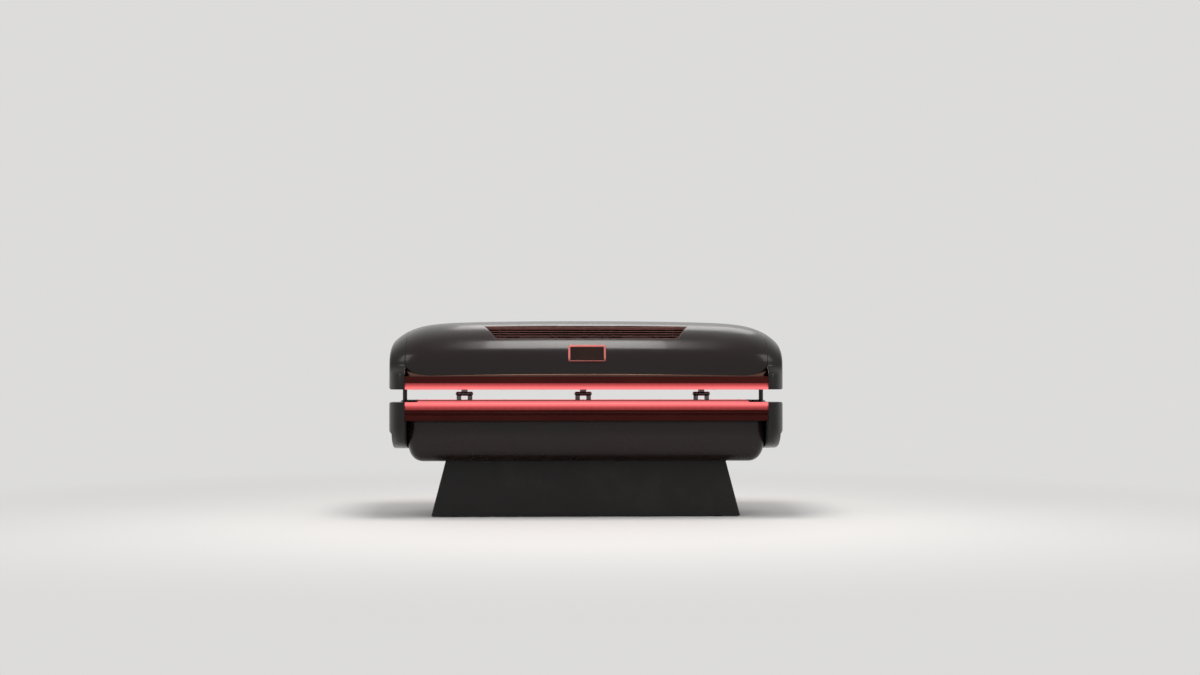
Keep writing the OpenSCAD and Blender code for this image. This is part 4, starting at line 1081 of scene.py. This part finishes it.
# Operators, one for each piece or group of like pieces


def shown_rays(tree):
    """1 where the camera looks, straight or by way of metal and glass."""
    rays = tree.node("ShaderNodeLightPath", output="Is Camera Ray")
    sum_of = rays + rays.output("Is Glossy Ray") + rays.output("Is Transmission Ray")
    return sum_of.least(1.0)


class PodStageOperator(bpy.types.Operator):
    """Floor, world, lamps and camera"""

    bl_idname = "pod.stage"
    bl_label = "Stage"

    def execute(self, context):
        studio = context.scene.pod_studio
        self.floor(studio)
        self.world(studio)
        self.lamp("key", (0.0, -1.35, 4.75), (0.0, -0.4, 0.9), (1.5, 2.3), studio.key)
        self.lamp("left", (-4.4, -3.0, 3.0), (-0.4, 0.0, 0.7), (1.6, 2.4), studio.fill)
        self.lamp("right", (4.4, -3.0, 3.0), (0.4, 0.0, 0.7), (1.6, 2.4), studio.fill)
        self.lamp("back", (0.6, 4.4, 4.2), (0.0, 0.0, 0.8), (3.6, 1.6), studio.key * 0.25)
        self.camera(context, studio)
        return {"FINISHED"}

    def floor(self, studio):
        look = Look("floor_paper")
        cloud = look.noise(0.7, 3.0)
        fibre = look.noise(260.0, 2.0)
        warm = tuple(c * 0.985 for c in studio.floor)
        paper = look.node("ShaderNodeBsdfPrincipled", inputs={
            "Base Color": look.mix(warm, tuple(studio.floor), cloud), "Roughness": fibre * 0.1 + 0.75,
            "Specular IOR Level": 0.1,
        })
        far = look.node("ShaderNodeVectorMath", {"operation": "LENGTH"}, {0: look.place}, output="Value")
        sky = look.node("ShaderNodeEmission", inputs={"Color": solid(studio.sky), "Strength": 1.0})
        softness = 0.4
        fade = far.over(1.9, 5.0).calc("SMOOTH_MIN", 1.0, softness) * (1 / (1 - softness / 6))
        fade = fade * shown_rays(look)
        look.finish(look.node("ShaderNodeMixShader", inputs=(fade, paper, sky)))
        size = 30.0
        corners = [(-size, -size, 0), (size, -size, 0), (size, size, 0), (-size, size, 0)]
        piece = mesh_piece("floor", corners, [(0, 1, 2, 3)], False)
        piece.data.materials.append(look.material)

    def world(self, studio):
        world = bpy.data.worlds.new("studio")
        world.use_nodes = True
        tree = Tree(world.node_tree)
        tree.tree.nodes.clear()
        air, pale = [
            tree.node("ShaderNodeBackground", inputs={"Color": solid(colour), "Strength": strength})
            for colour, strength in (((1.0, 0.99, 0.98), studio.air), (studio.sky, 1.0))
        ]
        both = tree.node("ShaderNodeMixShader", inputs=(shown_rays(tree), air, pale))
        tree.node("ShaderNodeOutputWorld", inputs={"Surface": both})
        bpy.context.scene.world = world

    def lamp(self, name, place, target, size, energy):
        data = bpy.data.lights.new("lamp_" + name, "AREA")
        data.shape = "RECTANGLE"
        data.size, data.size_y = size
        data.energy = energy
        data.color = (1.0, 0.975, 0.95)
        item = new_piece("lamp_" + name, data)
        item.location = place
        item.rotation_euler = (Vector(target) - Vector(place)).to_track_quat("-Z", "Y").to_euler()

    def camera(self, context, studio):
        data = bpy.data.cameras.new("camera")
        data.lens = studio.lens
        data.sensor_width = 36.0
        data.clip_end = 100.0
        item = new_piece("camera", data)
        item.location = (-0.245, -10.565, 0.853)
        item.rotation_euler = Euler((math.radians(90 + 1.18), 0.0, math.radians(-1.83)))
        context.scene.camera = item
        context.scene.view_settings.view_transform = "Standard"


class PodPedestalOperator(bpy.types.Operator):
    """Pedestal cladding with folded corners, its frame and feet"""

    bl_idname = "pod.pedestal"
    bl_label = "Pedestal"

    def execute(self, context):
        low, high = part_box("pedestal_shell")
        panel_low, panel_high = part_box("rear_service_panel")
        wide, back = PEDESTAL_TOP

        def block(name, inset, z0, z1, radius):
            corners = []
            for z in (z0, z1):
                drop = (high[2] - z) / (high[2] - low[2])
                x = wide + (high[0] - wide) * drop - inset
                front = -back - (-back - low[1]) * drop + inset
                corners.append([(-x, front, z), (x, front, z), (x, back - inset, z), (-x, back - inset, z)])
            piece = loft(name, corners)
            with edited(piece.data) as work:
                edges = [e for e in work.edges if abs(e.verts[0].co.z - e.verts[1].co.z) > 0.1]
                bmesh.ops.bevel(work, geom=edges, offset=radius, segments=6, profile=0.5, affect="EDGES")
            return piece

        shell = block("pedestal", 0.0, low[2], high[2], 0.009)
        inner = block("inner", 0.003, low[2] - 0.002, high[2] + 0.002, 0.0065)
        opening = between(0.29, 0.32, panel_low[2] - FIT, panel_high[2] + FIT)
        window = extruded("window", opening, panel_low[0] - FIT, panel_high[0] + FIT)
        shell = smooth(carve(shell, inner, window), 30)
        settle(shell, "bench", "pedestal", "pedestal_black", "pedestal_shell")
        dress("foot_pads", "bench", "rubber", "rubber_foot", 0.0010)
        dress("base_frame", "bench", "frame", "frame_steel", 0.0008)
        return {"FINISHED"}


class PodServiceOperator(bpy.types.Operator):
    """Service panel at the rear with its screws, mains inlet and power rocker"""

    bl_idname = "pod.service"
    bl_label = "Service panel"

    def execute(self, context):
        edge = context.scene.pod_sizes.edge
        dress("rear_service_panel", "bench", "pedestal", "pedestal_black", edge * 0.6)
        dress("panel_screws", "bench", "screw", "screw_zinc", 0.00025)
        dress("mains_inlet", "bench", "inlet", "inlet_black", 0.0006)
        dress("switch_housing", "bench", "inlet", "inlet_black", 0.0006)
        dress("power_rocker", "power_rocker", "rocker", "rocker_red", 0.0006)
        low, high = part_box("mains_inlet")
        x, z = (low[0] + high[0]) / 2, (low[2] + high[2]) / 2
        pins = []
        for dx, dz in ((-0.0035, 0.006), (-0.0035, -0.006), (0.0045, 0.0)):
            outline = between(low[1] + 0.012, low[1] + 0.026, z + dz - 0.001, z + dz + 0.001)
            pins.append(extruded("pin", outline, x + dx - 0.002, x + dx + 0.002))
        settle(bevel(smooth(joined(pins, "inlet_pins")), 0.0004), "bench", "pin", "pin_steel")
        return {"FINISHED"}


class PodElectronicsOperator(bpy.types.Operator):
    """Tray, power supplies and control board inside the pedestal"""

    bl_idname = "pod.electronics"
    bl_label = "Electronics"

    def execute(self, context):
        dress("base_tray", "bench", "tray", "tray_steel", 0.0005)
        dress("power_supplies", "bench", "tray", "tray_steel", 0.0008)
        dress("control_board", "bench", "circuit", "circuit_green", 0.0003)
        return {"FINISHED"}


class PodTubOperator(bpy.types.Operator):
    """Tub under the bench, with rounded bilges and ends"""

    bl_idname = "pod.tub"
    bl_label = "Tub"

    def execute(self, context):
        top = Z_RAIL - FIT

        def side(x, inset, high, steps=30):
            s = max(0.0, (abs(x) + inset - TUB_HALF_L + TUB_CORNER) / TUB_CORNER)
            e = TUB_CORNER * (1 - math.sqrt(max(0.0, 1 - min(s, 1.0) ** 2)))
            wide, deep = TUB_HALF - inset - e / 2, Z_TUB + e + inset - Z_BILGE
            bilge = oval(TUB_FLAT, Z_BILGE, wide - TUB_FLAT, deep, TUB_ROUND, 0, math.pi / 2, steps)
            return [(wide - 0.005, high)] + bilge

        def body(name, half, inset, high):
            turn = [TUB_CORNER * (1 - math.cos(math.radians(90 * i / 14))) for i in range(15)]
            stops = [-half + t for t in turn] + [half - t for t in reversed(turn)]
            chains = [(x, side(x, inset, high)) for x in stops]
            return loft(name, [ring(x, [(-y, z) for y, z in chain], chain) for x, chain in chains])

        tub = body("tub", TUB_HALF_L, 0.0, top)
        hollow = body("hollow", TUB_HALF_L - WALL, WALL, top + OVER)
        radius = TROUGH_R + ACRYLIC_T + LAMP_GAP + 0.026
        trough = arc(TROUGH_C, radius, -150, -30, 60)
        room = extruded("room", trough, -TUB_HALF_L - OVER, TUB_HALF_L + OVER)
        turns = [math.tau * i / 64 for i in range(64)]
        holes = []
        for x in BENCH_FAN_X:
            circle = [(x + FAN_HOLE_R * math.cos(a), FAN_HOLE_R * math.sin(a)) for a in turns]
            holes.append(upright("hole", circle, Z_TUB - OVER, Z_TUB + WALL + OVER))
        settle(smooth(carve(tub, hollow, room, *holes), 30), "bench", "tub", "shell_black", "tub_shell")
        return {"FINISHED"}


class PodBenchFrameOperator(bpy.types.Operator):
    """Bench frame with ribs and end plates, decks and their screws"""

    bl_idname = "pod.bench_frame"
    bl_label = "Bench frame and decks"

    def execute(self, context):
        dress("bench_frame", "bench", "frame", "frame_steel", 0.0006)
        dress("bench_decks", "bench", "deck", "deck_black", 0.0012, 3)
        dress("lid_ledges", "lid", "deck", "deck_black", 0.0012, 3)
        deck_z, ledge_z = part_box("bench_decks")[1][2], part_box("lid_ledges")[0][2]
        screws = screw_tree()
        row = INNER_Y - SCREW_IN
        places = [(x * SCREW_PITCH, y) for x in range(-4, 5) for y in (-row, row)]
        for name, body, z, aim in (("deck_screws", "bench", deck_z, 1), ("ledge_screws", "lid", ledge_z, -1)):
            points = [(x, y, z + aim * 0.0001) for x, y in places]
            piece = screws.grow(name, "screw", scatter_mesh(name, points, [(0, 0, aim)] * len(points)))
            settle(smooth(piece, 25), body, "screw", "screw_zinc")
        return {"FINISHED"}


class PodRailOperator(bpy.types.Operator):
    """Beaded rails under and over the light bands"""

    bl_idname = "pod.rails"
    bl_label = "Rails"

    def execute(self, context):
        for side in ("front", "rear"):
            dress(f"bench_rail_{side}", "bench", "rail", "rail_dark", 0.0014, 3, 20)
            dress(f"lid_rail_{side}", "lid", "rail", "rail_dark", 0.0014, 3, 20)
        return {"FINISHED"}


class PodLightOperator(bpy.types.Operator):
    """Lit diffusers of the bench and the lid, and the strips inside them"""

    bl_idname = "pod.lights"
    bl_label = "Light bands"

    def profile(self, inset, turned):
        low, height = (Z_LIGHT, Z_RIM - Z_LIGHT) if not turned else (Z_LID, Z_LID_RAIL - Z_LID)
        far, near = FRONT - inset, INNER_Y + inset
        base, top = (-OVER if inset else 0.0), height - inset
        chain = [(near, base), (far, base)]
        for y, sign, r, start, steps in ((far, 1, 0.015 - inset, 0, 16), (near, -1, 0.008 - inset, 90, 8)):
            chain += [(y - sign * r + py, top - r + pz) for py, pz in arc(0.0, r, start, start + 90, steps)]
        if turned:
            return [(y, low + height - z) for y, z in chain]
        return [(y, low + z) for y, z in chain]

    def execute(self, context):
        for body, turned, finish in (("bench", False, "bench_glow"), ("lid", True, "lid_glow")):
            for side, sign in (("front", -1), ("rear", 1)):
                outer, inner = [
                    [(y * sign, z) for y, z in self.profile(inset, turned)] for inset in (0.0, 0.004)
                ]
                piece = extruded(f"{body}_light_band_{side}", outer, -HALF_BAND, HALF_BAND)
                carve(piece, extruded("inside", inner, -HALF_BAND - OVER, HALF_BAND + OVER))
                settle(smooth(piece, 30), body, finish, "light_nose", f"{body}_light_{side}")
            dress(f"{body}_light_strips", body, "board", "strip_white", 0.0)
        return {"FINISHED"}


class PodPanelOperator(bpy.types.Operator):
    """Clear lying panel and arch panel"""

    bl_idname = "pod.panels"
    bl_label = "Clear panels"

    def execute(self, context):
        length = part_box("bench_acrylic")[1][0]
        half = math.degrees(math.asin(TROUGH_HALF / (TROUGH_R + ACRYLIC_T)))
        low = math.degrees(math.asin((Z_LID - ARCH_C) / (ARCH_R + ACRYLIC_T)))
        for name, body, centre, radius, start, end, steps in (
            ("bench_panel", "bench", TROUGH_C, TROUGH_R, -90 - half, -90 + half, 60),
            ("arch_panel", "lid", ARCH_C, ARCH_R, low, 180 - low, 72),
        ):
            inner, outer = [arc(centre, r, start, end, steps) for r in (radius, radius + ACRYLIC_T)]
            piece = loft(name, [ring(x, inner, outer) for x in (-length, length)])
            settle(bevel(smooth(piece), 0.001), body, "clear", "clear_acrylic", f"{body}_acrylic")
        return {"FINISHED"}


class PodLampOperator(bpy.types.Operator):
    """Lamp boards with their lenses, and the heat sinks behind them"""

    bl_idname = "pod.lamps"
    bl_label = "Lamp boards"

    def execute(self, context):
        lenses, radius = lens_tree(), context.scene.pod_sizes.lens_radius
        sets = (
            ("bench", TROUGH_C, TROUGH_R + ACRYLIC_T + LAMP_GAP, BENCH_ROWS, TROUGH_HALF, TROUGH_R, -90),
            ("lid", ARCH_C, ARCH_R + LAMP_GAP, LID_ROWS, ARCH_HALF, ARCH_R, 90),
        )
        for body, *numbers in sets:
            dress(f"{body}_lamp_boards", body, "board", "lamp_board", 0.0004)
            dress(f"{body}_heat_sinks", body, "sink", "heat_sink", 0.0003, 1)
            red, dark = lens_points(*numbers)
            for name, finish, (points, aims) in (("red", "lens", red), ("deep", "infrared", dark)):
                label = f"{body}_lenses_{name}"
                piece = lenses.grow(label, finish, scatter_mesh(label, points, aims), radius=radius)
                settle(smooth(piece, 60), body, finish, "lamp_board")
        return {"FINISHED"}


class PodFanOperator(bpy.types.Operator):
    """Fans on the tub's floor and behind the vents, with wire guards in the floor's holes"""

    bl_idname = "pod.fans"
    bl_label = "Fans"

    def execute(self, context):
        dress("bench_fan_frames", "bench", "fan", "inlet_black", 0.0008)
        dress("lid_fan_frames", "lid", "fan", "inlet_black", 0.0008)
        for side in ("left", "right"):
            dress(f"bench_fan_rotor_{side}", f"bench_fan_{side}", "fan", "fan_black", 0.0005)
        for i in range(1, 5):
            dress(f"lid_fan_rotor_{i}", f"lid_fan_{i}", "fan", "fan_black", 0.0005)
        guards = guard_tree()
        rings = context.scene.pod_sizes.guard_rings
        places = [Matrix.Translation((x, 0, Z_TUB + 0.0022)) for x in BENCH_FAN_X]
        pieces = [moved(guards.grow("guard", "pin", rings=rings), place) for place in places]
        settle(smooth(joined(pieces, "fan_guards"), 60), "bench", "pin", "pin_steel")
        return {"FINISHED"}


class PodBenchCapOperator(bpy.types.Operator):
    """End caps of the bench, whose wings reach down beside the tub"""

    bl_idname = "pod.bench_caps"
    bl_label = "Bench end caps"

    def execute(self, context):
        right = cap_piece("bench_cap_right_shell", bench_cap_out, bench_mouth, False)
        foot, near, far = Z_RIM - WING_H - 0.02, HALF_L - CAP_STEP, HALF_L + 0.005
        outline = [(near, foot), (far, foot), (far, CAP_STEP_Z + 0.022), (near, CAP_STEP_Z)]
        cutter = loft("step", [[(x, y, z) for x, z in outline] for y in (-FRONT - 0.01, FRONT + 0.01)])
        settle_caps(carve(right, cutter), "bench")
        return {"FINISHED"}


class PodHingeOperator(bpy.types.Operator):
    """Three hinges with their pins"""

    bl_idname = "pod.hinges"
    bl_label = "Hinges"

    def execute(self, context):
        dress("hinge_bench_leaves", "bench", "hinge", "hinge_steel", 0.0008)
        dress("hinge_lid_leaves", "lid", "hinge", "hinge_steel", 0.0008)
        dress("hinge_pins", "bench", "pin", "pin_steel", 0.0008)
        return {"FINISHED"}


class PodSpringOperator(bpy.types.Operator):
    """Gas springs and the studs that they turn on"""

    bl_idname = "pod.springs"
    bl_label = "Gas springs"

    def execute(self, context):
        dress("spring_studs_bench", "bench", "hinge", "hinge_steel", 0.0006)
        dress("spring_studs_lid", "lid", "hinge", "hinge_steel", 0.0006)
        for side in ("left", "right"):
            dress(f"spring_cylinder_{side}", f"spring_cylinder_{side}", "enamel", "cylinder_black", 0.0010, 3)
            dress(f"spring_rod_{side}", f"spring_rod_{side}", "rod", "rod_chrome", 0.0006)
        return {"FINISHED"}


class PodDomeOperator(bpy.types.Operator):
    """Dome of the lid with its openings, the lid frame and the trim line"""

    bl_idname = "pod.dome"
    bl_label = "Dome"

    def execute(self, context):
        dress("lid_frame", "lid", "frame", "frame_steel", 0.0006)
        dome = dome_tree().grow("dome", "shell")
        if max(dome.data.polygons, key=lambda face: face.center.z).normal.z < 0:
            dome.data.flip_normals()
        wall = dome.modifiers.new("wall", "SOLIDIFY")
        wall.thickness = WALL
        wall.offset = -1.0
        plain(dome)
        vent = moved(upright("vent", vent_outline(), -0.04, 0.04), VENT_PLACE)
        outline = rounded(DISPLAY_L + 2 * FIT, DISPLAY_W + 2 * FIT, 0.012)
        display = moved(upright("display", outline, -0.03, 0.03), DISPLAY_PLACE)
        smooth(carve(dome, vent, display), 35)
        plain(bevel(dome, 0.0014, 3, 50))
        settle(smooth(dome, 45), "lid", "shell", "shell_black", "lid_shell")
        self.sills()
        return {"FINISHED"}

    def sills(self):
        pieces = []
        for sign in (-1, 1):
            rings = []
            for i in range(-60, 61):
                x = HALF_BAND * math.sin(math.pi / 2 * i / 60)
                y, low, high = dome_half(x) - 0.006, Z_BELT + FIT, sill_z(x) - FIT
                outline = [
                    (-0.003, low), (0.005, low), (0.005, high - 0.003), (0.0042, high - 0.0012),
                    (0.002, high), (0.0, high), (-0.003, high),
                ]
                rings.append([(x, sign * (y + out), z) for out, z in outline])
            pieces.append(loft("sill", rings))
        settle(smooth(joined(pieces, "trim_line"), 40), "lid", "trim", "sill_dark", "lid_sills")


class PodLidCapOperator(bpy.types.Operator):
    """End caps of the lid, which carry the dome's outline on"""

    bl_idname = "pod.lid_caps"
    bl_label = "Lid end caps"

    def execute(self, context):
        settle_caps(cap_piece("lid_cap_right_shell", lid_cap_out, lid_mouth, True), "lid")
        return {"FINISHED"}


class PodVentOperator(bpy.types.Operator):
    """Vent field: a frame and rows of leaning slats"""

    bl_idname = "pod.vents"
    bl_label = "Vents"

    def execute(self, context):
        count = context.scene.pod_sizes.slat_count
        high = VENT_LENGTH / 2
        pitch = (VENT_LENGTH - 0.020) / count
        border = upright("vent_border", vent_outline(FIT), -0.019, -0.003)
        window = upright("window", vent_outline(VENT_BORDER), -0.03, 0.01)
        border = plain(bevel(carve(border, window), 0.0012, 3))
        slats = slat_tree().grow("slats", "vent", count=count, pitch=pitch, low=-high + 0.010 + pitch / 2)
        moved(slats, Matrix.Translation((0, 0, -0.0098)))
        section = between(-high + 0.005, high - 0.005, -0.019, -0.014)
        bars = [extruded("bar", section, x - 0.003, x + 0.003) for x in (-0.15, 0.15)]
        piece = moved(joined([border, slats, *bars], "vents"), VENT_PLACE)
        settle(smooth(piece, 40), "lid", "vent", "vent_black", "vent_grille")
        return {"FINISHED"}


class PodDisplayOperator(bpy.types.Operator):
    """Display: copper ring, dark glass and the housing behind"""

    bl_idname = "pod.display"
    bl_label = "Display"

    def execute(self, context):
        dress("display_bezel", "lid", "bezel", "bezel_copper", 0.0018, 4)
        dress("display_screen", "lid", "glass", "screen_glass", 0.0006)
        dress("display_module", "lid", "module", "module_grey", 0.0012)
        return {"FINISHED"}


OPERATORS = (
    PodStageOperator, PodPedestalOperator, PodServiceOperator, PodElectronicsOperator, PodTubOperator,
    PodBenchFrameOperator, PodRailOperator, PodLightOperator, PodPanelOperator, PodLampOperator,
    PodFanOperator, PodBenchCapOperator, PodHingeOperator, PodSpringOperator, PodDomeOperator,
    PodLidCapOperator, PodVentOperator, PodDisplayOperator,
)


class PodPanel(bpy.types.Panel):
    """Lists the pod's sizes, colours and pieces"""

    bl_idname = "VIEW3D_PT_pod"
    bl_label = "Light Therapy Pod"
    bl_space_type = "VIEW_3D"
    bl_region_type = "UI"
    bl_category = "Pod"

    def draw(self, context):
        column = self.layout.column()
        for group in (context.scene.pod_sizes, context.scene.pod_colours, context.scene.pod_studio):
            for name in group.__annotations__:
                column.prop(group, name)
            column.separator()
        for operator in OPERATORS:
            column.operator(operator.bl_idname)


GROUPS = (("pod_sizes", PodSizes), ("pod_colours", PodColours), ("pod_studio", PodStudio))


def register():
    for name, group in GROUPS:
        bpy.utils.register_class(group)
        setattr(bpy.types.Scene, name, bpy.props.PointerProperty(type=group))
    for item in (*OPERATORS, PodPanel):
        bpy.utils.register_class(item)


def unregister():
    for item in reversed((*OPERATORS, PodPanel)):
        bpy.utils.unregister_class(item)
    for name, group in reversed(GROUPS):
        delattr(bpy.types.Scene, name)
        bpy.utils.unregister_class(group)


def main():
    register()
    make_finishes(bpy.context.scene.pod_colours)
    for operator in OPERATORS:
        package, name = operator.bl_idname.split(".")
        getattr(getattr(bpy.ops, package), name)()


if __name__ == "__main__":
    main()
